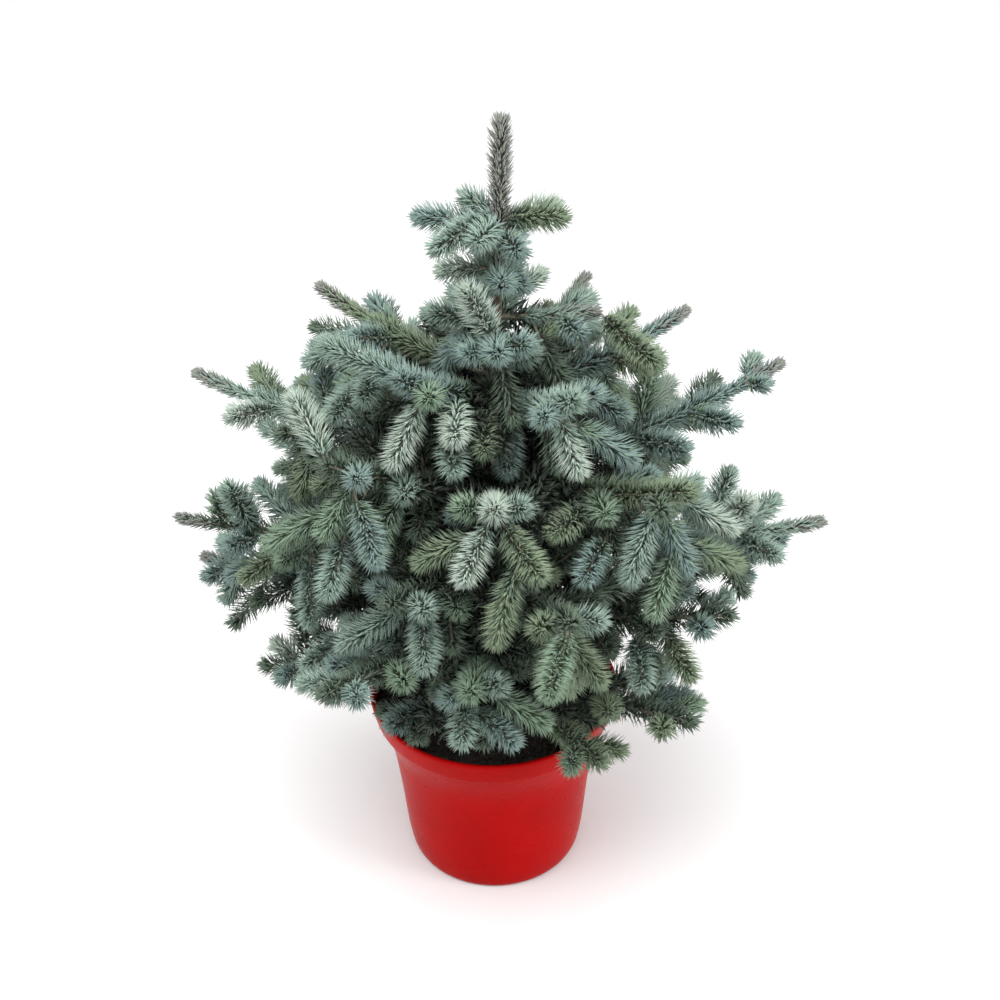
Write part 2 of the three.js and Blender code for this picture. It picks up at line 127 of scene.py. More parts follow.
def noise(tree, scale, detail=4.0, stretch=(1.0, 1.0, 1.0)):
    """A cloudy grey pattern in the object's coordinates."""
    place = tree.nodes.new("ShaderNodeTexCoord")
    mapping = tree.nodes.new("ShaderNodeMapping")
    mapping.inputs["Scale"].default_value = stretch
    cloud = tree.nodes.new("ShaderNodeTexNoise")
    cloud.inputs["Scale"].default_value = scale
    cloud.inputs["Detail"].default_value = detail
    tree.links.new(place.outputs["Object"], mapping.inputs["Vector"])
    tree.links.new(mapping.outputs["Vector"], cloud.inputs["Vector"])
    return cloud.outputs["Fac"]


def ramp(tree, value, stops):
    """Colours picked by a grey value. A stop is (place, colour)."""
    node = tree.nodes.new("ShaderNodeValToRGB")
    while len(node.color_ramp.elements) < len(stops):
        node.color_ramp.elements.new(0.5)
    for element, (place, colour) in zip(node.color_ramp.elements, stops):
        element.position = place
        element.color = (*colour, 1.0)
    tree.links.new(value, node.inputs["Fac"])
    return node.outputs["Color"]


def bump(tree, shader, height, depth, strength):
    """Fine relief on a shader from a grey value."""
    node = tree.nodes.new("ShaderNodeBump")
    node.inputs["Distance"].default_value = depth
    node.inputs["Strength"].default_value = strength
    tree.links.new(height, node.inputs["Height"])
    tree.links.new(node.outputs["Normal"], shader.inputs["Normal"])


# %% Plastic, soil and wood
def cloudy(name, colour, roughness, pattern, stops, relief=None):
    """A finish whose colour drifts between stops. Relief is a pattern, its depth and strength."""
    finish, tree, shader = new_finish(name, colour, roughness)
    tree.links.new(ramp(tree, noise(tree, *pattern), stops), shader.inputs["Base Color"])
    if relief:
        fine, depth, strength = relief
        bump(tree, shader, noise(tree, *fine), depth, strength)
    return finish


# name, middle colour, roughness, pattern as scale, detail and stretch, the stops, and the relief
CLOUDY = {
    "pot": ("red_plastic", (0.31, 0.0015, 0.0015), 0.3, (14.0,),
            ((0.3, (0.28, 0.0012, 0.0012)), (0.7, (0.34, 0.0018, 0.0018))),
            ((420.0, 2.0), 0.0002, 0.06)),
    "soil": ("moist_compost", (0.02, 0.015, 0.011), 0.92, (240.0, 8.0),
             ((0.3, (0.006, 0.0045, 0.0035)), (0.5, (0.022, 0.016, 0.012)),
              (0.75, (0.06, 0.044, 0.032))),
             ((700.0, 4.0), 0.0012, 0.7)),
    "chip": ("pale_chip", (0.2, 0.16, 0.12), 0.9, (500.0,),
             ((0.3, (0.1, 0.08, 0.06)), (0.7, (0.26, 0.22, 0.18)))),
    "bark": ("old_bark", (0.1, 0.07, 0.05), 0.9, (130.0, 8.0, (1.0, 1.0, 0.4)),
             ((0.3, (0.035, 0.024, 0.018)), (0.5, (0.1, 0.07, 0.052)), (0.72, (0.2, 0.16, 0.13))),
             ((420.0, 6.0, (1.0, 1.0, 0.5)), 0.0012, 0.6)),
    # Twig and bud keep their own tan and brown, painted paler as painted light against the needles'
    # shade.
    "twig": ("young_bark", (0.2, 0.19, 0.14), 0.8, (300.0,),
             ((0.3, (0.17, 0.16, 0.12)), (0.7, (0.24, 0.225, 0.165))), ((900.0,), 0.0004, 0.4)),
    "bud": ("bud_scale", (0.22, 0.19, 0.13), 0.6, (600.0,),
            ((0.3, (0.18, 0.155, 0.105)), (0.7, (0.26, 0.225, 0.155)))),
}
POT_SHINE = 0.03


def wear_plastic(finish):
    """Handled plastic shines little, and some patches less than others."""
    tree = finish.node_tree
    shader = tree.nodes["Principled BSDF"]
    shader.inputs["Specular IOR Level"].default_value = POT_SHINE
    dull = ramp(tree, noise(tree, 60.0), ((0.3, (0.26,) * 3), (0.75, (0.36,) * 3)))
    tree.links.new(dull, shader.inputs["Roughness"])


finishes = {key: cloudy(*row) for key, row in CLOUDY.items()}
wear_plastic(finishes["pot"])
print("finishes:", sorted(finishes))

# %% Needle tints
# From dark and inner to pale and outer. Each is one plain colour. Shade and inner are painted
# shade for needles deep in the crown, and the palest, silver, is partly painted light.
NEEDLE_TINTS = (
    ("shade", (0.042, 0.055, 0.04)),
    ("inner", (0.11, 0.155, 0.11)),
    ("olive", (0.186, 0.244, 0.156)),
    ("sea", (0.196, 0.28, 0.196)),
    ("blue", (0.194, 0.275, 0.253)),
    ("frost", (0.244, 0.334, 0.276)),
    ("silver", (0.385, 0.462, 0.388)),
    ("tip", (0.214, 0.222, 0.202)),
)
TINT = {name: index for index, (name, _) in enumerate(NEEDLE_TINTS)}
WAX_ROUGHNESS = 0.55
WAX_SHINE = 0.35


def needle_wax(name, colour):
    finish, _, shader = new_finish(f"needle_wax_{name}", colour, WAX_ROUGHNESS)
    shader.inputs["Specular IOR Level"].default_value = WAX_SHINE
    return finish


needle_finishes = [needle_wax(name, colour) for name, colour in NEEDLE_TINTS]
print("needle tints:", len(needle_finishes))

# %% [markdown]
# ## Working by hand
#
# A round thing can be drawn as a profile and spun, or raised ring by ring: a disc is extruded
# upwards and each new ring is scaled to its radius. Raising works for a leaning trunk too, so one
# helper serves both, and a modifier rounds the steps between the rings.
# %% Helpers for modelling
def deselect():
    if bpy.context.object and bpy.context.object.mode != "OBJECT":
        bpy.ops.object.mode_set(mode="OBJECT")
    bpy.ops.object.select_all(action="DESELECT")


def pick(piece):
    deselect()
    piece.select_set(True)
    bpy.context.view_layer.objects.active = piece


def apply_place():
    bpy.ops.object.transform_apply(location=True, rotation=True, scale=True)


def face_outwards(merge=0.0):
    """Merges points closer than `merge` and turns all faces of the picked piece outwards."""
    bpy.ops.object.mode_set(mode="EDIT")
    bpy.ops.mesh.select_all(action="SELECT")
    if merge:
        bpy.ops.mesh.remove_doubles(threshold=merge)
    bpy.ops.mesh.normals_make_consistent(inside=False)
    bpy.ops.object.mode_set(mode="OBJECT")


def join_pieces(parts, lead):
    pick(lead)
    for part in parts:
        part.select_set(True)
    bpy.ops.object.join()
    return bpy.context.object


def raise_rings(name, rings, steps):
    """A closed body from (centre, radius) rings, the first and last of them filled."""
    deselect()
    (start, radius), rest = rings[0], rings[1:]
    bpy.ops.mesh.primitive_circle_add(
        vertices=steps, radius=radius, fill_type="NGON", location=start)
    piece = bpy.context.object
    piece.name = name
    apply_place()
    bpy.ops.object.mode_set(mode="EDIT")
    centre = Vector(start)
    for place, wide in rest:
        place = Vector(place)
        bpy.ops.mesh.extrude_region_move(TRANSFORM_OT_translate={"value": place - centre})
        size = wide / radius
        bpy.ops.transform.resize(value=(size, size, 1.0), center_override=place)
        centre, radius = place, wide
    face_outwards()
    return piece


def finish_modifier(piece, kind, **settings):
    """Adds one modifier and applies it at once."""
    pick(piece)
    bpy.ops.object.modifier_add(type=kind)
    modifier = piece.modifiers[-1]
    for key, value in settings.items():
        setattr(modifier, key, value)
    bpy.ops.object.modifier_apply(modifier=modifier.name)


def mark_group(piece, name, test):
    """A vertex group of the points that pass the test."""
    group = piece.vertex_groups.new(name=name)
    group.add([v.index for v in piece.data.vertices if test(v.co)], 1.0, "REPLACE")
    return group.name


def round_off(piece, levels):
    finish_modifier(piece, "SUBSURF", levels=levels, render_levels=levels)


def roughen(piece, layers, **settings):
    """Lifts a surface by one texture after another. A layer is (name, kind, size, rise)."""
    for name, kind, size, rise in layers:
        texture = bpy.data.textures.new(name, type=kind)
        texture.noise_scale = size
        settings.update(texture=texture, strength=rise, texture_coords="LOCAL")
        finish_modifier(piece, "DISPLACE", **settings)


def smooth(piece, degrees=60.0):
    pick(piece)
    bpy.ops.object.shade_smooth_by_angle(angle=math.radians(degrees))


def hand_in(piece, finish, nodes):
    """The piece takes its finish, rides with the plant and stands for its solids."""
    piece.data.materials.clear()
    piece.data.materials.append(finish)
    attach(piece, "root")
    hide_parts(*nodes)
    faces = sum(len(face.vertices) - 2 for face in piece.data.polygons)
    print(f"{piece.name}: {faces} triangles")


# %% [markdown]
# ## The pot
#
# A nursery pot is thin moulded plastic, with a rounded foot, an almost straight wall, and a wider
# band at the top that starts at a small ridge and ends in a rolled lip. The rings run up the
# outside, over the lip and down the inside to the floor. Drain holes are cut at the end.
# %% Pot
POT_SIDES = 48
POT_EDGE = 50.0  # degrees: sharper edges stay sharp
POT_HEIGHT = 0.215
POT_BASE = 0.086
POT_WALL = 0.0026
POT_FLOOR = 0.003
POT_INSIDE = (0.006, 0.209)  # between these heights the inner wall follows the outer one
# height and outer radius, from the foot to the lip
POT_PROFILE = (
    (0.0, 0.0868), (0.0012, 0.0885), (0.0035, 0.0906), (0.009, 0.0928), (0.03, 0.096),
    (0.06, 0.0986), (0.09, 0.1014), (0.12, 0.1048), (0.142, 0.1078), (0.158, 0.1118),
    (0.17, 0.1162), (0.18, 0.1202), (0.1842, 0.1218), (0.1858, 0.1226), (0.1874, 0.1243),
    (0.189, 0.1252), (0.198, 0.1272), (0.206, 0.1288), (0.2115, 0.1298), (0.2138, 0.1298),
)
POT_FOOT = (0.0, 0.08)
POT_LIP = ((0.215, 0.1286), (0.215, 0.1268), (0.2142, 0.1256), (0.2112, 0.1256), (0.21, 0.1264))
POT_CORNER = ((0.005, 0.088), (POT_FLOOR, POT_BASE), (POT_FLOOR, 0.082))  # where floor meets wall
DRAIN_COUNT = 6
DRAIN_RADIUS = 0.006
DRAIN_CIRCLE = 0.062
DRAIN_STEPS = 24
DRILL_DEPTH = 0.03


def read(profile, place):
    """The value of a profile at a place, or at several."""
    return np.interp(place, *zip(*profile))


def pot_rings():
    low, high = POT_INSIDE
    inside = [(z, r - POT_WALL) for z, r in reversed(POT_PROFILE) if low < z < high]
    return [((0, 0, z), r) for z, r in [POT_FOOT, *POT_PROFILE, *POT_LIP, *inside, *POT_CORNER]]


def drill():
    """Upright rods through the floor, joined in one cutter."""
    rods = []
    for index in range(DRAIN_COUNT):
        angle = 2 * math.pi * index / DRAIN_COUNT
        place = (DRAIN_CIRCLE * math.cos(angle), DRAIN_CIRCLE * math.sin(angle), 0.0)
        deselect()
        bpy.ops.mesh.primitive_cylinder_add(
            vertices=DRAIN_STEPS, radius=DRAIN_RADIUS, depth=DRILL_DEPTH, location=place)
        rods.append(bpy.context.object)
    return join_pieces(rods, rods[-1])


pot = raise_rings("pot_wall", pot_rings(), POT_SIDES)
round_off(pot, 2)
cutter = drill()
finish_modifier(pot, "BOOLEAN", operation="DIFFERENCE", object=cutter, solver="EXACT")
bpy.data.objects.remove(cutter)
smooth(pot, POT_EDGE)
hand_in(pot, finishes["pot"], ["pot"])

# %% [markdown]
# ## The soil
#
# Moist compost fills the pot to a finger's width below the rim. It looks real only with loose
# crumbs on it, so a body with a rough top comes first, and small lumps, each a squashed ball of
# twenty faces, are scattered over it.
# %% Soil body
SOIL_TOP = 0.196
SOIL_EDGE = 0.193
SOIL_CLEAR = 0.0004
SOIL_RINGS = 14
SOIL_HEIGHTS = (0.009, 0.03, 0.09, 0.142, 0.17, 0.188)  # rings along the pot's wall
SOIL_BOTTOM = (0.0033, 0.084)  # height and radius
SOIL_ROUGH = 0.117  # inside this radius the top is rough
SOIL_SINK = 0.55  # above a half, the roughness digs in more than it lifts
SOIL_STEP = 0.0005  # the top starts this far in from the wall
SOIL_LAYERS = (("clods", "CLOUDS", 0.016, 0.007), ("grains", "CLOUDS", 0.004, 0.0035))


def soil_height(share):
    """The soil's surface at a share of its radius."""
    return SOIL_TOP + (SOIL_EDGE - SOIL_TOP) * share ** 3


def soil_rings():
    wall = [(z, read(POT_PROFILE, z) - POT_WALL - SOIL_CLEAR) for z in SOIL_HEIGHTS]
    edge = wall[-1][1]
    shares = [1 - index / SOIL_RINGS for index in range(SOIL_RINGS)]
    top = [(soil_height(share), (edge - 2 * SOIL_STEP) * share + SOIL_STEP) for share in shares]
    return [((0, 0, z), r) for z, r in [SOIL_BOTTOM, *wall, *top]]


def on_rough_top(point):
    return point.z > SOIL_EDGE - 2 * SOIL_STEP and math.hypot(point.x, point.y) < SOIL_ROUGH


soil = raise_rings("soil_body", soil_rings(), POT_SIDES)
round_off(soil, 2)
rough_top = mark_group(soil, "top", on_rough_top)
roughen(soil, SOIL_LAYERS, mid_level=SOIL_SINK, vertex_group=rough_top)
smooth(soil)
hand_in(soil, finishes["soil"], ["soil"])


# %% Crumbs and chips
def joined(parts):
    """One (points, triangles) pair from several."""
    points = np.concatenate([p for p, _ in parts])
    starts = np.cumsum([0] + [len(p) for p, _ in parts[:-1]])
    return points, np.concatenate([t + s for (_, t), s in zip(parts, starts)])


def piece_from_arrays(name, points, triangles):
    mesh = bpy.data.meshes.new(name)
    mesh.vertices.add(len(points))
    mesh.vertices.foreach_set("co", np.asarray(points, np.float32).ravel())
    mesh.loops.add(triangles.size)
    mesh.loops.foreach_set("vertex_index", np.asarray(triangles, np.int32).ravel())
    mesh.polygons.add(len(triangles))
    mesh.polygons.foreach_set("loop_start", np.arange(0, triangles.size, 3, dtype=np.int32))
    mesh.update(calc_edges=True)
    piece = bpy.data.objects.new(name, mesh)
    bpy.context.scene.collection.objects.link(piece)
    return piece


def ball_template():
    """Points and triangles of a unit ball of twenty faces."""
    deselect()
    bpy.ops.mesh.primitive_ico_sphere_add(subdivisions=1, radius=1.0)
    ball = bpy.context.object
    points = np.array([v.co for v in ball.data.vertices])
    triangles = np.array([f.vertices for f in ball.data.polygons])
    bpy.data.objects.remove(ball)
    return points, triangles


# name, finish, seed, count, smallest and largest size, flatness, and lift
LUMPS = (
    ("soil_crumbs", "soil", 5, 1100, 0.0009, 0.0045, 0.7, 0.0002),
    ("soil_chips", "chip", 8, 26, 0.002, 0.0055, 0.35, 0.0016),
)
LUMP_REACH = 0.118  # lumps lie inside this radius
LUMP_EDGE = 0.122
LUMP_SPREAD = (0.03, 1.0)  # shares of the area that they lie on
LUMP_TILT = 0.3
LUMP_SHAPE = (0.7, 1.2)
LUMP_DENTS = (0.85, 1.15)
MOSTLY_SMALL = 2.5


def scatter(seed, count, small, large, flat, lift):
    """Squashed, turned balls lying on the soil inside the pot."""
    draw = np.random.default_rng(seed)
    ball, faces = ball_template()
    lumps = []
    for _ in range(count):
        size = small + (large - small) * draw.random() ** MOSTLY_SMALL
        shape = ball * (size * draw.uniform(*LUMP_SHAPE, 3) * (1, 1, flat))
        shape = shape * draw.uniform(*LUMP_DENTS, (len(ball), 1))
        spin = Matrix.Rotation(draw.uniform(0, 2 * math.pi), 3, "Z")
        spin = spin @ Matrix.Rotation(draw.normal(0, LUMP_TILT), 3, "X")
        radius = LUMP_REACH * math.sqrt(draw.uniform(*LUMP_SPREAD))
        angle = draw.uniform(0, 2 * math.pi)
        height = soil_height(radius / LUMP_EDGE) + lift
        place = (radius * math.cos(angle), radius * math.sin(angle), height)
        lumps.append((shape @ np.array(spin).T + place, faces))
    return joined(lumps)


for name, finish, *row in LUMPS:
    hand_in(piece_from_arrays(name, *scatter(*row)), finishes[finish], ["soil"])

# %% [markdown]
# ## The growth rule
#
# The foliage solids were grown by a seeded rule: a stem, then pairs of side shoots set from its
# tip backwards, each turned or shortened until it has room. The same rule is written again here,
# with the same draws, so that every twig starts where the solid has it. Lengths are in metres.
# %% Sizes of the tree
GAP = 0.0003
TRUNK_FOOT = SOIL_TOP + GAP
TRUNK_TIP = 0.848
TRUNK_LEAN = 0.018
TRUNK_BOW = 0.005
TRUNK_SWEEP = 1.6  # how late the lean sets in
TRUNK_THICK = 0.0114
TRUNK_THIN = 0.0021
FLARE = 0.008
FLARE_HEIGHT = 0.009
BOUGH_TIP = 0.003
BOUGH_ROOM = BOUGH_TIP * 1.5
BOUGH_GROWTH = 0.0085
BOUGH_SHARE = 0.36
BOUGH_HIDDEN = 0.08
BRUSH = 0.0165
NECK_STEP = 0.005
NECK_SHARE = 0.45
SIDE_BARE = 0.011
LEADER_FROM = 0.69
LEADER_TO = 0.857
LEADER_BRUSH = 0.0125
FIRST_PAIR = 0.046
LONG_FIRST_PAIR = 0.09
NODE_SPACING = 0.062
NODE_SPREAD = 0.08
SIDE_ANGLE = math.radians(50)
TILT_LOW = -8.0
TILT_HIGH = 12.0
SIDE_SHORT = 0.05
SIDE_GROWTH = 0.3
SIDE_LONG = 0.096
SIDE_HOOK = 0.1
AS_DRAWN = (0, 1)
TRIES = (AS_DRAWN, (22, 1), (-20, 1), (0, 0.74), (32, 0.74), (-28, 0.74))
BARE_SHARE = 0.4
CLEARANCE = 0.0012
SAMPLE = 0.006
STAGGER = 0.0055
# height and widest reach of the crown
CROWN_PROFILE = (
    (0.22, 0.215), (0.3, 0.272), (0.38, 0.306), (0.45, 0.326), (0.52, 0.3), (0.59, 0.262),
    (0.64, 0.192), (0.68, 0.126), (0.72, 0.092), (0.78, 0.076), (0.87, 0.02),
)
# height, sag, and the limbs: azimuth in degrees, reach, and height of the tip
WHORLS = (
    (0.243, 0.006, (
        (38, 0.24, 0.285), (97, 0.238, 0.285), (150, 0.248, 0.29), (192, 0.24, 0.285),
        (223, 0.148, 0.243), (266, 0.132, 0.246), (303, 0.2, 0.25), (320, 0.256, 0.302))),
    (0.318, 0.01, (
        (8, 0.28, 0.35), (68, 0.255, 0.36), (122, 0.272, 0.362), (176, 0.296, 0.372),
        (235, 0.27, 0.396), (264, 0.2, 0.372), (331, 0.264, 0.404))),
    (0.398, 0.014, (
        (40, 0.295, 0.44), (95, 0.284, 0.44), (146, 0.29, 0.44), (184, 0.308, 0.452),
        (243, 0.205, 0.468), (289, 0.232, 0.47), (353, 0.33, 0.447))),
    (0.488, 0.016, (
        (5, 0.286, 0.59), (66, 0.235, 0.53), (118, 0.235, 0.535), (172, 0.286, 0.58),
        (222, 0.2, 0.59), (272, 0.165, 0.56), (322, 0.235, 0.56))),
    (0.584, 0.012, (
        (4, 0.192, 0.656), (40, 0.132, 0.657), (104, 0.14, 0.6), (165, 0.165, 0.672),
        (232, 0.13, 0.66), (303, 0.15, 0.648))),
    (0.648, 0.002, (
        (70, 0.09, 0.672), (208, 0.062, 0.682), (276, 0.1, 0.676), (348, 0.11, 0.674))),
)
TOP_WHORLS = (
    (0.702, -0.002, (
        (92, 0.052, 0.712), (204, 0.048, 0.714), (286, 0.062, 0.722), (322, 0.05, 0.696))),
    (0.752, -0.002, (
        (12, 0.072, 0.764), (165, 0.022, 0.779), (180, 0.064, 0.76), (232, 0.074, 0.754),
        (262, 0.062, 0.762), (305, 0.06, 0.744), (345, 0.08, 0.766))),
)
# limbs that end in a long single tip
LONG_TIPS = ("3_3", "3_4", "3_7", "4_4", "5_1", "5_2", "5_4")
# Single shoots that fill the crown between the pairs, by limb: share of the way along the
# limb, side (-1 or 1), degrees up from the limb's plane, and length.
SPURS = {
    "1_4": ((0.6, 1, 20, 0.09),), "1_8": ((0.5, -1, 20, 0.09),),
    "2_2": ((0.9, 1, 40, 0.09), (0.45, 1, -20, 0.09)), "2_4": ((0.75, -1, -60, 0.08),),
    "2_5": ((0.45, 1, 20, 0.09),), "2_6": ((0.4, -1, 20, 0.09),), "2_7": ((0.7, 1, -40, 0.08),),
    "3_4": ((0.6, 1, 20, 0.08), (0.75, -1, 60, 0.09)),
    "3_5": ((0.5, 1, 40, 0.08), (0.5, -1, -40, 0.08)),
    "3_6": ((0.4, -1, 40, 0.09), (0.95, 1, -40, 0.09)), "3_7": ((0.65, -1, 60, 0.08),),
    "4_1": ((0.5, -1, 40, 0.09),), "4_4": ((0.4, 1, 40, 0.09), (0.55, 1, 60, 0.09)),
    "4_5": ((0.4, 1, 60, 0.08),),
}
print("limbs in the whorls:", [len(limbs) for _, _, limbs in (*WHORLS, *TOP_WHORLS)])

# %% Small maths
UP = np.array((0.0, 0.0, 1.0))
WORD = 0xFFFFFFFF
UPRIGHT = 0.05  # a heading with less sideways share than this has no side of its own


def seeded(seed):
    """The same chain of numbers from 0 to 1 that the solids were grown with."""
    state = seed

    def draw():
        nonlocal state
        state = (state + 0x6D2B79F5) & WORD
        mixed = ((state ^ (state >> 15)) * (state | 1)) & WORD
        mixed ^= (mixed + (((mixed ^ (mixed >> 7)) * (mixed | 61)) & WORD)) & WORD
        return ((mixed ^ (mixed >> 14)) & WORD) / 2 ** 32

    return draw


def lerp(a, b, t):
    return a + (b - a) * t


def arc(start, end, bend):
    """Three control points of a smooth arc whose middle is moved by bend."""
    start, end = np.asarray(start, float), np.asarray(end, float)
    return np.array([start, (start + end) / 2 + 2 * np.asarray(bend, float), end])


def unit(v):
    return v / np.linalg.norm(v, axis=-1, keepdims=True)


def points_on(curve, t):
    t = np.atleast_1d(t)[:, None]
    return (1 - t) ** 2 * curve[0] + 2 * t * (1 - t) * curve[1] + t * t * curve[2]


def headings_on(curve, t):
    t = np.atleast_1d(t)[:, None]
    way = (1 - t) * (curve[1] - curve[0]) + t * (curve[2] - curve[1])
    return unit(way)


def spot(curve, t):
    """One point of a curve and its heading there."""
    return points_on(curve, t)[0], headings_on(curve, t)[0]


def length_of(curve):
    steps = np.diff(points_on(curve, np.linspace(0, 1, 201)), axis=0)
    return float(np.linalg.norm(steps, axis=1).sum())


def square_to(headings):
    """Side and upward directions square to each heading."""
    side = np.cross(headings, UP)
    short = np.linalg.norm(side, axis=1) < UPRIGHT
    side[short] = (0.0, -1.0, 0.0)
    side = unit(side)
    return side, unit(np.cross(side, headings))


def trunk_share(height):
    return min(max((height - TRUNK_FOOT) / (TRUNK_TIP - TRUNK_FOOT), 0.0), 1.0)


def trunk_point(height):
    t = trunk_share(height)
    return np.array((TRUNK_LEAN * t ** TRUNK_SWEEP, -TRUNK_BOW * math.sin(math.pi * t), height))


def trunk_radius(height):
    flare = FLARE * math.exp((TRUNK_FOOT - height) / FLARE_HEIGHT)
    return lerp(TRUNK_THICK, TRUNK_THIN, trunk_share(height)) + flare


# %% Limbs of the tree
def new_shoot(curve, start, bare, owner, rank):
    """A twig along a curve, with needles beyond the share `bare`. Rank 0 is a stem."""
    return SimpleNamespace(curve=curve, start=start, bare=bare, owner=owner, rank=rank,
                           length=length_of(curve))


def build_limbs(whorls, first_number):
    limbs = []
    for w, (height, sag, rows) in enumerate(whorls, first_number):
        for i, (azimuth, reach, tip_height) in enumerate(rows):
            name = f"{w}_{i + 1}"
            wood = f"bough_{name}" in BOUGH_NODES
            angle = math.radians(azimuth)
            start = trunk_point(height + STAGGER * ((3 * i) % 5 - 2))
            end = (reach * math.cos(angle), reach * math.sin(angle), tip_height)
            limb = new_shoot(arc(start, end, (0, 0, -sag)), 0.0, 0.0, name, 0)
            edge = trunk_radius(start[2]) / limb.length
            limb.start = BOUGH_SHARE + GAP / limb.length if wood else edge / 2
            limb.bare = max(limb.start, edge) + NECK_STEP / limb.length
            limb.seed, limb.wood, limb.reach = 1000 * w + 10 * i, wood, reach
            limbs.append(limb)
    return limbs


limbs = build_limbs(WHORLS, 1)
top_limbs = build_limbs(TOP_WHORLS, len(WHORLS) + 1)
leader_tip = (*trunk_point(TRUNK_TIP)[:2], LEADER_TO)
leader_curve = arc(trunk_point(LEADER_FROM), leader_tip, (0, 0, 0))
leader = new_shoot(leader_curve, 0.0, NECK_STEP / length_of(leader_curve), "leader", 0)
print("limbs:", len(limbs), "top shoots:", len(top_limbs))

# %% Room for the shoots
class Room:
    """Points that shoots have claimed, each with a radius and an owner."""

    def __init__(self, kind):
        self.points, self.radius, self.owner = np.empty((0, 3)), np.empty(0), np.empty(0, kind)

    def claim(self, points, radius, owner):
        self.points = np.vstack([self.points, points])
        self.radius = np.append(self.radius, np.full(len(points), radius))
        self.owner = np.append(self.owner, np.full(len(points), owner, self.owner.dtype))

    def has(self, points, radius, owner, snug=1.0, clearance=0.0):
        """Whether no other owner's points are closer than the two radii, times snug, and clear."""
        others = self.owner != owner
        reach = (self.radius[others] + radius) * snug + clearance
        gaps = np.linalg.norm(points[:, None] - self.points[others][None], axis=2)
        return bool((gaps > reach).all())


stand = Room("U12")


def along(curve, start, end):
    steps = max(2, math.ceil(length_of(curve) * (end - start) / SAMPLE))
    return points_on(curve, np.linspace(start, end, steps + 1))


def inside_crown(points):
    low = points[:, 2] <= POT_HEIGHT + BRUSH + CLEARANCE
    wide = np.hypot(points[:, 0], points[:, 1]) >= read(CROWN_PROFILE, points[:, 2])
    return not (low | wide).any()


def has_room(points, owner):
    return stand.has(points, BRUSH, owner, clearance=CLEARANCE)


def claim_stems():
    height = TRUNK_FOOT
    while height < TRUNK_TIP:
        stand.claim(trunk_point(height)[None], trunk_radius(height), "trunk")
        height += SAMPLE
    for limb in limbs:
        stand.claim(along(limb.curve, BOUGH_HIDDEN, limb.bare), BOUGH_ROOM, limb.owner)
    stand.claim(along(leader_curve, 0, 1), LEADER_BRUSH, "leader")
    for limb in top_limbs:
        stand.claim(along(limb.curve, limb.bare, 1), BRUSH, "leader")
    for limb in limbs:
        needled = along(limb.curve, limb.bare, 1)
        while limb.bare < NECK_SHARE and not has_room(needled, limb.owner):
            limb.bare += NECK_STEP / limb.length
            needled = along(limb.curve, limb.bare, 1)
        stand.claim(needled, BRUSH, limb.owner)


claim_stems()
print("points claimed by stems:", len(stand.points))


# %% Side shoots
def side_curve(at, heading, sign, length, lift):
    side, up = (v[0] for v in square_to(heading[None]))
    level = heading * math.cos(SIDE_ANGLE) + side * sign * math.sin(SIDE_ANGLE)
    way = level * math.cos(lift) + up * math.sin(lift)
    end = at + way * length * (1 - SIDE_HOOK) + heading * length * SIDE_HOOK
    return arc(at, end, heading * -length * SIDE_HOOK / 3)


def fit_side(limb, at, heading, sign, full, tilt, tries=TRIES):
    for turn, share in tries:
        curve = side_curve(at, heading, sign, full * share, tilt + math.radians(turn))
        bare = SIDE_BARE / length_of(curve)
        outer = along(curve, bare, 1)
        if inside_crown(outer) and has_room(outer, limb.owner):
            stand.claim(outer, BRUSH, limb.owner)
            return [new_shoot(curve, 0.0, bare, limb.owner, 1)]
    return []


def vary(draw):
    return lerp(1 - NODE_SPREAD, 1 + NODE_SPREAD, draw())


def grow_sides(limb):
    draw = seeded(limb.seed)
    length = limb.length
    shoots = []
    step = NODE_SPACING * vary(draw)
    back = LONG_FIRST_PAIR if limb.owner in LONG_TIPS else FIRST_PAIR
    while back < length * (1 - BARE_SHARE):
        at, heading = spot(limb.curve, 1 - back / length)
        grown = min(SIDE_LONG, SIDE_SHORT + SIDE_GROWTH * (back - FIRST_PAIR))
        for sign in (-1, 1):
            full = grown * vary(draw)
            tilt = math.radians(lerp(TILT_LOW, TILT_HIGH, draw()))
            shoots += fit_side(limb, at, heading, sign, full, tilt)
        back += step
    return shoots


def grow_spurs(limb):
    shoots = []
    for share, sign, lift, length in SPURS.get(limb.owner, ()):
        at, heading = spot(limb.curve, share)
        shoots += fit_side(limb, at, heading, sign, length, math.radians(lift), (AS_DRAWN,))
    return shoots


sides = [shoot for limb in limbs for shoot in grow_sides(limb)]
sides += [shoot for limb in limbs for shoot in grow_spurs(limb)]
print("side shoots:", len(sides))

# %% [markdown]
# ## Finer twigs
#
# A real bough carries twigs on its twigs, and the trunk carries short shoots between its whorls.
# The solids leave those out, so the rule is carried one step further: every limb, every side shoot
# and the trunk put out twigs wherever there is room. All but a few stay behind the outer tips, and
# off the lines of sight that stay open to the sky.
# %% Room among the twigs
TWIG_BRUSH = 0.018  # radius of a fine twig with its needles
TWIG_SNUG = 0.76  # share of two radii that stays free between neighbours
TWIG_LOW = 0.24  # they stay above this height
TWIG_LOW_FRONT = 0.3  # and above this one in front, where the soil shows
# height and reach that the fine twigs keep inside, a little behind the outer tips
TWIG_PROFILE = (
    (0.24, 0.2), (0.3, 0.24), (0.38, 0.268), (0.45, 0.28), (0.52, 0.258),
    (0.58, 0.215), (0.615, 0.15), (0.65, 0.088), (0.7, 0.058), (0.77, 0.045),
)
CROWN_FRONT = 0.84  # depth of the crown at the front and back, as shares of its half width
CROWN_BACK = 0.88
FRONT_FROM = 0.09  # the front starts this far before the trunk
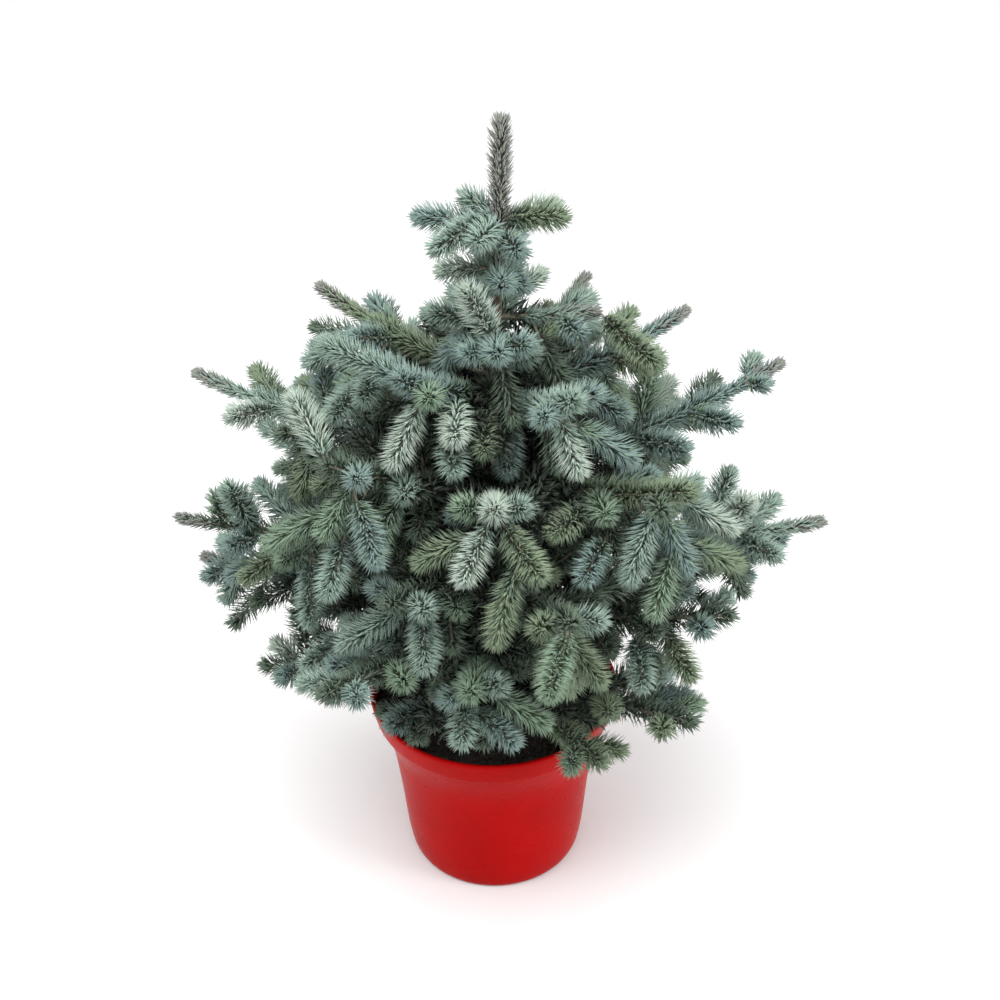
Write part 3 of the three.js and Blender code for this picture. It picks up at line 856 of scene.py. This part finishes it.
# Places in the crown that stay open to the sky as seen from the camera: x and z where the line
# of sight crosses the middle plane, and how far the fine twigs keep from that line.
SKY_GAPS = (
    (-0.236, 0.525, 0.046), (0.232, 0.52, 0.04), (0.206, 0.502, 0.036), (0.17, 0.578, 0.032),
    (-0.052, 0.656, 0.034), (-0.151, 0.189, 0.046), (0.233, 0.282, 0.036), (-0.234, 0.282, 0.028),
    (-0.231, 0.238, 0.028), (0.051, 0.692, 0.03),
)

NO_KEY = -1  # for twigs of the trunk, which has no needles of its own
space = Room(int)


def inside_twig_crown(points):
    """The crown is a little flatter at the front and back than at the sides."""
    depth = np.where(points[:, 1] < 0, CROWN_FRONT, CROWN_BACK)
    reach = np.hypot(points[:, 0], points[:, 1] / depth)
    limit = read(TWIG_PROFILE, points[:, 2])
    lowest = np.where(points[:, 1] < -FRONT_FROM, TWIG_LOW_FRONT, TWIG_LOW)
    return not ((reach >= limit) | (points[:, 2] <= lowest)).any()


def leaves_sky_open(points):
    eye = np.array(camera.location)
    for x, z, room in SKY_GAPS:
        sight = unit(np.array((x, 0.0, z)) - eye)
        away = points - eye
        apart = np.linalg.norm(away - (away @ sight)[:, None] * sight, axis=1)
        if (apart < room).any():
            return False
    return True


shoots = [leader, *top_limbs, *limbs, *sides]
for key, shoot in enumerate(shoots):
    shoot.key = key
    radius = LEADER_BRUSH if shoot is leader else BRUSH
    space.claim(along(shoot.curve, shoot.bare, 1), radius, key)
print("shoots so far:", len(shoots))

# %% Twigs on the shoots and on the trunk
TWIG_SPACING = 0.022
TWIG_FIRST = 0.044  # distance from a shoot's tip to its first fine twigs
TWIG_FIRST_FINE = 0.034  # the same on a fine twig
TWIG_UNEVEN = (0.9, 1.15)
TWIG_LENGTH = (0.07, 0.104)
TWIG_TILT = (-34, 0)  # degrees up from the plane of the shoot
TWIG_TURNS = (0, -26, 24, -52, 50, -80)  # degrees out of the plane, tried in turn
TWIG_ROOT = 0.12  # limbs carry no fine twigs on this first share of their length
TWIG_OUTER = 0.42  # the part of a twig beyond this share has to have room
TWIG_KEPT = 0.3  # and the part beyond this one keeps later twigs off
RISING_FROM = 0.62  # below this height all twigs lie level or hang, above it they may rise
TOP_SNUG = 0.5  # and they stand closer there
TRUNK_TWIG_FROM = 0.236
TRUNK_TWIG_TO = 0.735
TRUNK_TWIG_STEP = 0.0036
TRUNK_TWIG_REACH = (0.085, 0.15)
TRUNK_TWIG_LEAST = 0.036
TRUNK_TWIG_SHARES = (1.0, 0.75, 0.55)  # tried in turn
TRUNK_TWIG_SAG = 0.06
TRUNK_TWIG_INSIDE = 0.8  # share of the crown's reach that they stay inside
TRUNK_TILT = (-30, -4)
TOP_RISE = 35  # degrees that those above RISING_FROM rise further
SIDE_NEEDLED, TRUNK_NEEDLED, EDGE_NEEDLED = 0.2, 0.22, 0.12  # needles start at this share
GOLDEN = math.pi * (3 - math.sqrt(5))
GOLDEN_BLUR = 0.15
# Twigs set one by one where the edge of the crown needs them, by limb: share of the way along
# the limb, side (-1 or 1), degrees up from the limb's plane, and length.
EDGE_TWIGS = {
    "1_1": (0.85, 1, -20, 0.095), "1_4": (0.8, 1, 80, 0.095), "1_7": (0.5, -1, 0, 0.065),
    "1_8": (0.7, -1, 0, 0.065), "2_1": (0.9, 1, 40, 0.095), "2_4": (0.85, -1, -80, 0.055),
    "3_4": (0.85, -1, 80, 0.05), "3_7": (0.7, 1, 60, 0.08), "4_3": (0.9, -1, -20, 0.095),
    "4_5": (0.95, 1, 40, 0.08), "5_5": (0.85, 1, 0, 0.095), "6_3": (0.55, 1, 60, 0.08),
    "6_4": (0.95, 1, -20, 0.095), "7_1": (0.6, 1, -20, 0.065),
}

twig_draw = np.random.default_rng(21)
twigs = []


def add_twig(curve, bare):
    twig = new_shoot(curve, 0.0, bare, "twig", 2)
    twig.key = len(shoots) + len(twigs)
    space.claim(along(curve, TWIG_KEPT, 1), TWIG_BRUSH, twig.key)
    twigs.append(twig)


def keep_twig(curve, own_key, bare, snug=TWIG_SNUG):
    """Adds the twig if it doesn't rise too low down and its outer part has room."""
    if curve[2][2] > curve[0][2] and curve[0][2] < RISING_FROM:
        return False
    outer = along(curve, TWIG_OUTER, 1)
    if not (inside_twig_crown(outer) and space.has(outer, TWIG_BRUSH, own_key, snug)):
        return False
    if leaves_sky_open(outer):
        add_twig(curve, bare)
        return True
    return False


def grow_edge_twigs():
    by_name = {limb.owner: limb for limb in [*limbs, *top_limbs]}
    for name, (share, sign, degrees, full) in EDGE_TWIGS.items():
        at, heading = spot(by_name[name].curve, share)
        add_twig(side_curve(at, heading, sign, full, math.radians(degrees)), EDGE_NEEDLED)


def grow_twigs(parent, first, root=0.0):
    """Pairs of fine twigs, from near the tip of a shoot back to the share `root` of its length."""
    back = first * twig_draw.uniform(*TWIG_UNEVEN)
    while back < parent.length - parent.length * root:
        at, heading = spot(parent.curve, 1 - back / parent.length)
        for sign in (-1, 1):
            full = twig_draw.uniform(*TWIG_LENGTH)
            tilt = twig_draw.uniform(*TWIG_TILT)
            for turn in TWIG_TURNS:
                curve = side_curve(at, heading, sign, full, math.radians(tilt + turn))
                if keep_twig(curve, parent.key, SIDE_NEEDLED):
                    break
        back += TWIG_SPACING * twig_draw.uniform(*TWIG_UNEVEN)


def grow_trunk_twigs():
    count = round((TRUNK_TWIG_TO - TRUNK_TWIG_FROM) / TRUNK_TWIG_STEP)
    for index in range(count):
        height = lerp(TRUNK_TWIG_FROM, TRUNK_TWIG_TO, index / count)
        top = height > RISING_FROM
        azimuth = index * GOLDEN + twig_draw.normal(0, GOLDEN_BLUR)
        rise = math.radians(twig_draw.uniform(*TRUNK_TILT) + (TOP_RISE if top else 0))
        limit = read(TWIG_PROFILE, height) * TRUNK_TWIG_INSIDE
        for share in TRUNK_TWIG_SHARES:
            reach = min(limit, twig_draw.uniform(*TRUNK_TWIG_REACH)) * share
            if reach < TRUNK_TWIG_LEAST:
                continue
            out = np.array((math.cos(azimuth), math.sin(azimuth), math.tan(rise)))
            start = trunk_point(height)
            curve = arc(start, start + out * reach, (0, 0, -TRUNK_TWIG_SAG * reach))
            if keep_twig(curve, NO_KEY, TRUNK_NEEDLED, TOP_SNUG if top else TWIG_SNUG):
                break


grow_edge_twigs()
for limb in limbs:
    grow_twigs(limb, TWIG_FIRST, TWIG_ROOT)
grow_trunk_twigs()
for shoot in sides:
    grow_twigs(shoot, TWIG_FIRST)
for shoot in list(twigs):
    grow_twigs(shoot, TWIG_FIRST_FINE)
print("fine twigs:", len(twigs))

# %% [markdown]
# ## Trunk and boughs
#
# Spruce bark is thin and scaly, lifted in small flakes. The trunk is raised ring by ring like the
# pot, along its lean, with the root flare at the soil. A bough bends, so it is drawn as a Bezier
# curve that tapers and then made a mesh. Two displacements, coarse and fine, lift the flakes.
# %% Trunk
TRUNK_STEPS = 20
TRUNK_RING = 0.006  # spacing of the rings


def trunk_rings():
    count = round((TRUNK_TIP - TRUNK_FOOT) / TRUNK_RING)
    heights = [lerp(TRUNK_FOOT, TRUNK_TIP, i / count) for i in range(count + 1)]
    return [(trunk_point(z), trunk_radius(z)) for z in heights]


def bark_over(piece, flakes, cracks, nodes):
    """Rounds a piece of wood, lifts flakes and cracks on it, and hands it in."""
    round_off(piece, 1)
    layers = ("flakes", "VORONOI", 0.007, flakes), ("cracks", "CLOUDS", 0.0025, cracks)
    roughen(piece, layers, mid_level=0.5)
    smooth(piece)
    hand_in(piece, finishes["bark"], nodes)


bark_over(raise_rings("trunk_bark", trunk_rings(), TRUNK_STEPS), 0.0022, 0.0008, ["trunk"])


# %% Boughs
BOUGH_ROUND = 3
BOUGH_STEPS = 14
BOUGH_MERGE = 0.00001


def draw_bough(limb):
    """The bare part of a limb as a Bezier curve with a tapering thickness."""
    deselect()
    start, middle, _ = limb.curve
    near = lerp(start, middle, BOUGH_SHARE)
    far = points_on(limb.curve, BOUGH_SHARE)[0]
    bpy.ops.curve.primitive_bezier_curve_add()
    bough = bpy.context.object
    first, last = bough.data.splines[0].bezier_points
    thick = BOUGH_TIP + limb.reach * BOUGH_GROWTH
    for point, place, inner, radius in ((first, start, near, thick), (last, far, near, BOUGH_TIP)):
        point.handle_left_type = point.handle_right_type = "FREE"
        point.co = place
        towards = lerp(np.asarray(place), inner, 2 / 3)
        point.handle_left = point.handle_right = towards
        point.radius = radius
    bough.data.bevel_depth = 1.0
    bough.data.bevel_resolution = BOUGH_ROUND
    bough.data.resolution_u = BOUGH_STEPS
    bough.data.use_fill_caps = True
    bpy.ops.object.convert(target="MESH")
    return bpy.context.object


drawn = [draw_bough(limb) for limb in limbs if limb.wood]
boughs = join_pieces(drawn, drawn[0])
boughs.name = "boughs_bark"
apply_place()
face_outwards(BOUGH_MERGE)
bark_over(boughs, 0.0012, 0.0005, BOUGH_NODES)

# %% [markdown]
# ## Twigs and buds
#
# Inside the needles every shoot has a thin tan twig that ends in a brown bud, both painted paler
# than their own colour as painted light against the needles' shade. Only glimpses of them show,
# so each twig is a four-sided tube and each bud a small spindle, and all of a kind are one mesh
# built from arrays.
# %% Twigs
TUBE_SIDES = 4
TIP_LEFT = 0.009  # the wood ends this far before the needles do


def tube(curve, start, end, thick, thin, rings):
    """A closed tapering tube along part of a curve."""
    t = np.linspace(start, end, rings)
    centres, ways = points_on(curve, t), headings_on(curve, t)
    side, up = square_to(ways)
    turn = np.arange(TUBE_SIDES) * 2 * math.pi / TUBE_SIDES
    radius = np.linspace(thick, thin, rings)[:, None, None]
    ring = side[:, None] * np.cos(turn)[None, :, None] + up[:, None] * np.sin(turn)[None, :, None]
    points = (centres[:, None] + ring * radius).reshape(-1, 3)
    points = np.vstack([points, centres[:1], centres[-1:]])
    faces = []
    for i in range(TUBE_SIDES):
        j = (i + 1) % TUBE_SIDES
        last = (rings - 1) * TUBE_SIDES
        faces += [(len(points) - 2, i, j), (len(points) - 1, last + j, last + i)]
        for r in range(rings - 1):
            a, b = r * TUBE_SIDES + i, r * TUBE_SIDES + j
            faces += [(a, b + TUBE_SIDES, b), (a, a + TUBE_SIDES, b + TUBE_SIDES)]
    return points, np.array(faces)


WOOD = ((0.003, 0.0013), (0.0021, 0.0011), (0.0014, 0.0009))  # radius at root and tip, by rank
WOOD_STEP = 0.03  # spacing of its rings


def wood_end(shoot):
    return 1 - TIP_LEFT / shoot.length


def wood_of(shoot):
    rings = 4 + round(shoot.length / WOOD_STEP)
    return tube(shoot.curve, shoot.start, wood_end(shoot), *WOOD[shoot.rank], rings)


all_shoots = [*shoots, *twigs]
wood = piece_from_arrays("twigs", *joined([wood_of(s) for s in all_shoots if s is not leader]))
hand_in(wood, finishes["twig"], FOLIAGE_NODES)

# %% Buds
BUD_LENGTH = 0.0065
BUD_RADIUS = 0.0016
BUD_SIZE = (1.25, 1.0, 0.85)  # by rank
BUD_SUNK = 0.001
# shares of the length and radius
BUD_SHOULDER = 0.45
BUD_NECK = 0.6
BUD_POINT = 0.2


def bud_of(shoot):
    at, way = spot(shoot.curve, wood_end(shoot))
    size = BUD_SIZE[shoot.rank]
    radius = BUD_RADIUS * size
    shoulder = at + way * BUD_LENGTH * BUD_SHOULDER * size
    swell = arc(at - way * BUD_SUNK, shoulder, (0, 0, 0))
    taper = arc(shoulder, at + way * BUD_LENGTH * size, (0, 0, 0))
    return joined([tube(swell, 0, 1, radius * BUD_NECK, radius, 2),
                   tube(taper, 0, 1, radius, radius * BUD_POINT, 3)])


buds = piece_from_arrays("buds", *joined([bud_of(shoot) for shoot in all_shoots]))
hand_in(buds, finishes["bud"], FOLIAGE_NODES)

# %% [markdown]
# ## Needles
#
# A blue spruce needle is stiff, four-angled and sharp, and about two centimetres long. Needles
# stand so thick all round the twig that they hide it: long ones lean out, short ones lie along the
# wood, and at the end they spread like a dome over the bud. Each is a slim spindle of four faces,
# sharp at both ends and broadest a little way out. Needles of one tint are joined in one mesh, or
# in two where they are many.
# %% One field of needles
NEEDLE_LENGTH = 0.0215
NEEDLE_WIDTH = 0.001  # half the breadth, where the needle is broadest
NEEDLE_BELLY = 0.42  # share of the length at which that is
NEEDLE_KEEL = 0.9  # height of the needle's ridge, as a share of that width
NEEDLE_UNEVEN = (0.9, 1.08)
NEEDLE_FOOT = 0.0006  # needles stand this far from the middle of the wood
SPIRAL_BLUR = 0.25
LEAN_FULL = math.radians(60)  # angle between needle and shoot
LEAN_SHORT = math.radians(34)  # the same for the short needles that lie along the wood
LEAN_BLUR = math.radians(6)
SHORT_SHARE = 0.24  # how many needles are short ones
SHORT_LENGTH = 0.72
LIFT = 0.12  # how far the lower needles turn up to the light
TIP_ROUND = 0.018  # over this length the needles draw in to a blunt end
TIP_LEAN, TIP_LENGTH = 0.72, 0.64  # shares of lean and length that are left there
ROOT_ROUND, ROOT_LENGTH = 0.012, 0.65  # the same at the root
DOME_NEEDLES = 56
DOME_LENGTH = 0.62  # share of a full needle's length
DOME_DEPTH = 0.006  # the needles of the dome spring from this last bit of the twig
DOME_OPEN = math.radians(58)
DOME_SPREAD = (0.02, 1)  # shares of that angle
DOME_BUNCH = 1.3  # above one, most of them stand close to the middle
OPENING = 0.6  # below one, needles reach their full lean soon behind the tip

chance = np.random.default_rng(77)


def needles_from(centre, way, out, lean, length):
    """Foot, tip and heading of needles that leave the wood by the angle `lean`."""
    lean = lean[:, None]
    line = out * np.sin(lean) + way * np.cos(lean) + UP * LIFT * (1 - out[:, 2:3]) / 2
    foot = centre + out * NEEDLE_FOOT
    return foot, foot + line * length[:, None], way


def around(shoot, t):
    """Places on the wood, their headings, and an outward direction for each, in a spiral."""
    centre, way = points_on(shoot.curve, t), headings_on(shoot.curve, t)
    side, up = square_to(way)
    turn = (np.arange(len(t)) * GOLDEN + chance.normal(0, SPIRAL_BLUR, len(t)))[:, None]
    return centre, way, side * np.cos(turn) + up * np.sin(turn)


def body_needles(shoot, start, end, step, length, lean_full):
    """Needles all round a stretch of a shoot, and the share of the way at which each stands."""
    span = shoot.length * (end - start)
    count = max(0, round(span / step))
    share = (np.arange(count) + chance.uniform(0, 1, count)) / max(count, 1)
    centre, way, out = around(shoot, start + share * (end - start))
    opened = np.clip((1 - share) * span / TIP_ROUND, 0, 1) ** OPENING
    root = np.clip(share * span / ROOT_ROUND, 0, 1)
    short = chance.random(count) < SHORT_SHARE
    lean = np.where(short, LEAN_SHORT, lean_full) * lerp(TIP_LEAN, 1, opened)
    lean += chance.normal(0, LEAN_BLUR, count)
    long = length * np.where(short, SHORT_LENGTH, 1.0)
    long = long * lerp(ROOT_LENGTH, 1, root) * lerp(TIP_LENGTH, 1, opened)
    long *= chance.uniform(*NEEDLE_UNEVEN, count)
    return needles_from(centre, way, out, lean, long), share


def dome_needles(shoot, end, length):
    """Needles that spread over the bud at the end of a shoot."""
    back = chance.uniform(0, DOME_DEPTH, DOME_NEEDLES) / shoot.length
    centre, way, out = around(shoot, end - back)
    lean = chance.uniform(*DOME_SPREAD, DOME_NEEDLES) ** DOME_BUNCH * DOME_OPEN
    long = length * DOME_LENGTH * chance.uniform(*NEEDLE_UNEVEN, DOME_NEEDLES)
    return needles_from(centre, way, out, lean, long), np.ones(DOME_NEEDLES)


def needle_mesh(foot, tip, way, width):
    """Points and triangles of four-faced spindles."""
    line = unit(tip - foot)
    u = unit(np.cross(line, way))
    belly = lerp(foot, tip, NEEDLE_BELLY) + np.cross(line, u) * width * NEEDLE_KEEL
    points = np.stack([foot, belly - u * width, belly + u * width, tip], axis=1)
    spike = np.array([(0, 1, 2), (0, 3, 1), (0, 2, 3), (1, 3, 2)])
    starts = np.arange(len(foot))[:, None, None] * 4
    return points.reshape(-1, 3), (spike[None] + starts).reshape(-1, 3)


# %% Dealing out the tints
# Middle and reach of the greener zones of the crown.
GREEN_ZONES = (
    (-0.21, -0.04, 0.52, 0.13), (0.09, -0.2, 0.37, 0.17), (0.16, 0.17, 0.46, 0.15),
    (-0.12, 0.2, 0.36, 0.14),
)
GREEN_BLUR = 0.25
OLIVE_CHANCE = {True: 0.3, False: 0.05}  # in and outside the green zones
COVER_AT = 0.75  # share of the way along a shoot where its cover is measured
COVER_FROM = 0.012  # neighbours count from this distance
COVER_TO = 0.25  # to this one
COVER_ROOM = 0.03  # and this near to the line
MOST_COVER = 12  # sprays with more cover take the inner tint, as painted shade
COVER_SHADE = 0.028  # each point of cover takes this much off the paleness, as painted shade
LOW_TIPS = 0.29  # sprays whose tips hang lower than this get darker, painted shade near the soil
LOW_SHADE = 6.0
PALENESS = (0.68, 0.24)  # mean and spread
PALE_LIMITS = ((0.15, "inner"), (0.62, "blue"), (0.92, "frost"))  # less pale than that
OWN_TINT = (0.15, 1.9, 0.93)  # chance of a spray's own tint rather than the next darker one, painted shade: at the root, its rise, and the most


def cover_of(shoot):
    """How many points of its neighbours stand between a shoot and the open sky, outwards and up."""
    place = points_on(shoot.curve, COVER_AT)[0]
    out = np.array((place[0], place[1], 0.0))
    way = unit(UP + out / max(np.linalg.norm(out), COVER_ROOM))
    away = space.points[space.owner != shoot.key] - place
    ahead = away @ way
    aside = np.linalg.norm(away - ahead[:, None] * way, axis=1)
    return int(((ahead > COVER_FROM) & (ahead < COVER_TO) & (aside < COVER_ROOM)).sum())


def greenness(place):
    return max(1 - math.dist(place, zone[:3]) / zone[3] for zone in GREEN_ZONES)


def spray_tint(shoot):
    """The tint of a whole spray: paler in the open and darker under cover, as painted light and
    shade, and greener in the zones.
    """
    cover = cover_of(shoot)
    if cover > MOST_COVER:
        return TINT["inner"]
    tip = shoot.curve[2]
    green = greenness(tip) + chance.normal(0, GREEN_BLUR) > 0
    if chance.random() < OLIVE_CHANCE[green]:
        return TINT["olive"]
    pale = chance.normal(*PALENESS) - cover * COVER_SHADE - max(0.0, LOW_TIPS - tip[2]) * LOW_SHADE
    name = next((name for limit, name in PALE_LIMITS if pale < limit), "silver")
    return TINT["sea" if green and name == "blue" else name]


# The next darker tint of each, used as painted shade near the root of a spray.
DARKER = {TINT[name]: TINT[darker] for name, darker in (
    ("silver", "frost"), ("frost", "blue"), ("blue", "sea"), ("sea", "inner"),
    ("olive", "inner"), ("inner", "shade"), ("tip", "olive"))}


def deal_tints(own, share):
    """A tint for every needle of a spray: its own, or the next darker one near the root as painted
    shade.
    """
    least, rise, most = OWN_TINT
    dark = chance.random(len(share)) > np.clip(share * rise + least, 0, most)
    return np.where(dark, DARKER[own], own)


# %% Grow the needles
NEEDLE_STEP = 0.00015  # distance along a shoot from one needle to the next
INNER_STEP = 0.00026  # the same on fine twigs deep inside the crown
LEADER_NEEDLE = 0.0175
SLIM_LEAN = math.radians(45)  # on the leader and on slim tips
SLIM_FROM = 0.245  # stems in the widest part of the crown that reach further out end in a slim tip
SLIM_TOP = 0.6  # and so do those that end above this height, this far from the middle
SLIM_TOP_FROM = 0.1
SLIM_LENGTH = 0.055  # length of that tip
SLIM_NEEDLE = 0.0145
BROWN_FROM = 0.2  # from this share of a slim tip on its needles turn brown, one by one

fields, tint_rows, width_rows = [], [], []


def add_needles(field, tints, width=NEEDLE_WIDTH):
    fields.append(field)
    tint_rows.append(tints)
    width_rows.append(np.full(len(tints), width))


def has_slim_tip(shoot):
    x, _, z = shoot.curve[2]
    return abs(x) > SLIM_FROM or (z > SLIM_TOP and abs(x) > SLIM_TOP_FROM)


def dress(shoot):
    """The whole needled part of a shoot and the dome at its end."""
    end = slim_from = wood_end(shoot)
    own = TINT["tip"] if shoot is leader else spray_tint(shoot)
    step = INNER_STEP if own == TINT["inner"] else NEEDLE_STEP
    length, lean = (LEADER_NEEDLE, SLIM_LEAN) if shoot is leader else (NEEDLE_LENGTH, LEAN_FULL)
    if shoot is not leader and shoot.rank == 0 and has_slim_tip(shoot):
        slim_from = end - SLIM_LENGTH / shoot.length
    body, share = body_needles(shoot, shoot.bare, slim_from, step, length, lean)
    add_needles(body, deal_tints(own, share))
    if slim_from < end:
        length = SLIM_NEEDLE
        slim, share = body_needles(shoot, slim_from, end, step, length, SLIM_LEAN)
        brown = share > chance.uniform(BROWN_FROM, 1.0, len(share))
        add_needles(slim, np.where(brown, TINT["tip"], own))
        own = TINT["tip"]
    dome, share = dome_needles(shoot, end, length)
    add_needles(dome, deal_tints(own, share))


for shoot in all_shoots:
    dress(shoot)
print("needles on shoots and twigs:", sum(len(row) for row in tint_rows))

# %% Old sprays in painted shade inside the crown
OLD_STEP = 0.0009
OLD_NEEDLE = 0.024
STEM_NEEDLE = 0.016
STEM_FROM = 0.1
OLD_WIDTH = 0.0019  # old needles are few, so each is broad
OLD_SPACING = 0.02
OLD_PART = (0.12, 0.75)  # the part of a limb that carries old sprays
OLD_REACH = (0.05, 0.09)
OLD_TILT = (-50, 40)
OLD_INSIDE = 0.62  # share of the crown's reach that the old sprays keep inside
OLD_LOW = 0.26


def old_spray(limb, share, sign):
    """A short spray on the bare part of a limb in painted shade, or nothing if it would show
    outside.
    """
    at, heading = spot(limb.curve, share)
    lift = math.radians(chance.uniform(*OLD_TILT))
    curve = side_curve(at, heading, sign, chance.uniform(*OLD_REACH), lift)
    x, y, z = curve[2]
    if math.hypot(x, y) > read(TWIG_PROFILE, z) * OLD_INSIDE or z < OLD_LOW:
        return []
    return [new_shoot(curve, 0.0, 0.0, "old", 3)]


def grow_old():
    sprays = []
    for limb in limbs:
        for share in np.arange(*OLD_PART, OLD_SPACING / limb.length):
            for sign in (-1, 1):
                sprays += old_spray(limb, share, sign)
    return sprays


def dress_in_painted_shade(shoot, start, end, length):
    field, share = body_needles(shoot, start, end, OLD_STEP, length, LEAN_FULL)
    add_needles(field, np.full(len(share), TINT["shade"]), OLD_WIDTH)


old_sprays = grow_old()
# The old sprays and the bare necks of the limbs take the shade tint, painted shade deep in the
# crown.
for spray in old_sprays:
    dress_in_painted_shade(spray, 0.0, 1.0, OLD_NEEDLE)
for limb in limbs:
    dress_in_painted_shade(limb, STEM_FROM, limb.bare, STEM_NEEDLE)
print("old sprays:", len(old_sprays))

# %% Join the needles by tint
MOST_NEEDLES = 48000  # in one mesh, at four faces each

foot, tip, way = (np.concatenate([field[k] for field in fields]) for k in range(3))
tint, width = np.concatenate(tint_rows), np.concatenate(width_rows)[:, None]
print("needles:", len(foot))


def needle_pieces():
    for index, (name, _) in enumerate(NEEDLE_TINTS):
        chosen = np.flatnonzero(tint == index)
        for part in range(math.ceil(len(chosen) / MOST_NEEDLES)):
            rows = chosen[part * MOST_NEEDLES:(part + 1) * MOST_NEEDLES]
            mesh = needle_mesh(foot[rows], tip[rows], way[rows], width[rows])
            piece = piece_from_arrays(f"needles_{name}_{part + 1}", *mesh)
            hand_in(piece, needle_finishes[index], FOLIAGE_NODES)


needle_pieces()


# %% [markdown]
# ## The floor
#
# A wide pale floor carries the plant and bounces light up under the crown. It belongs to the
# studio, not to the plant.
# %% Floor
FLOOR_SIZE = 24.0
FLOOR_GREY = (0.74, 0.74, 0.74)


def add_floor():
    deselect()
    bpy.ops.mesh.primitive_plane_add(size=FLOOR_SIZE, location=(0, 0, 0))
    floor = bpy.context.object
    floor.name = "studio_floor"
    finish, _, _ = new_finish("pale_floor", FLOOR_GREY, 0.8)
    floor.data.materials.append(finish)


add_floor()
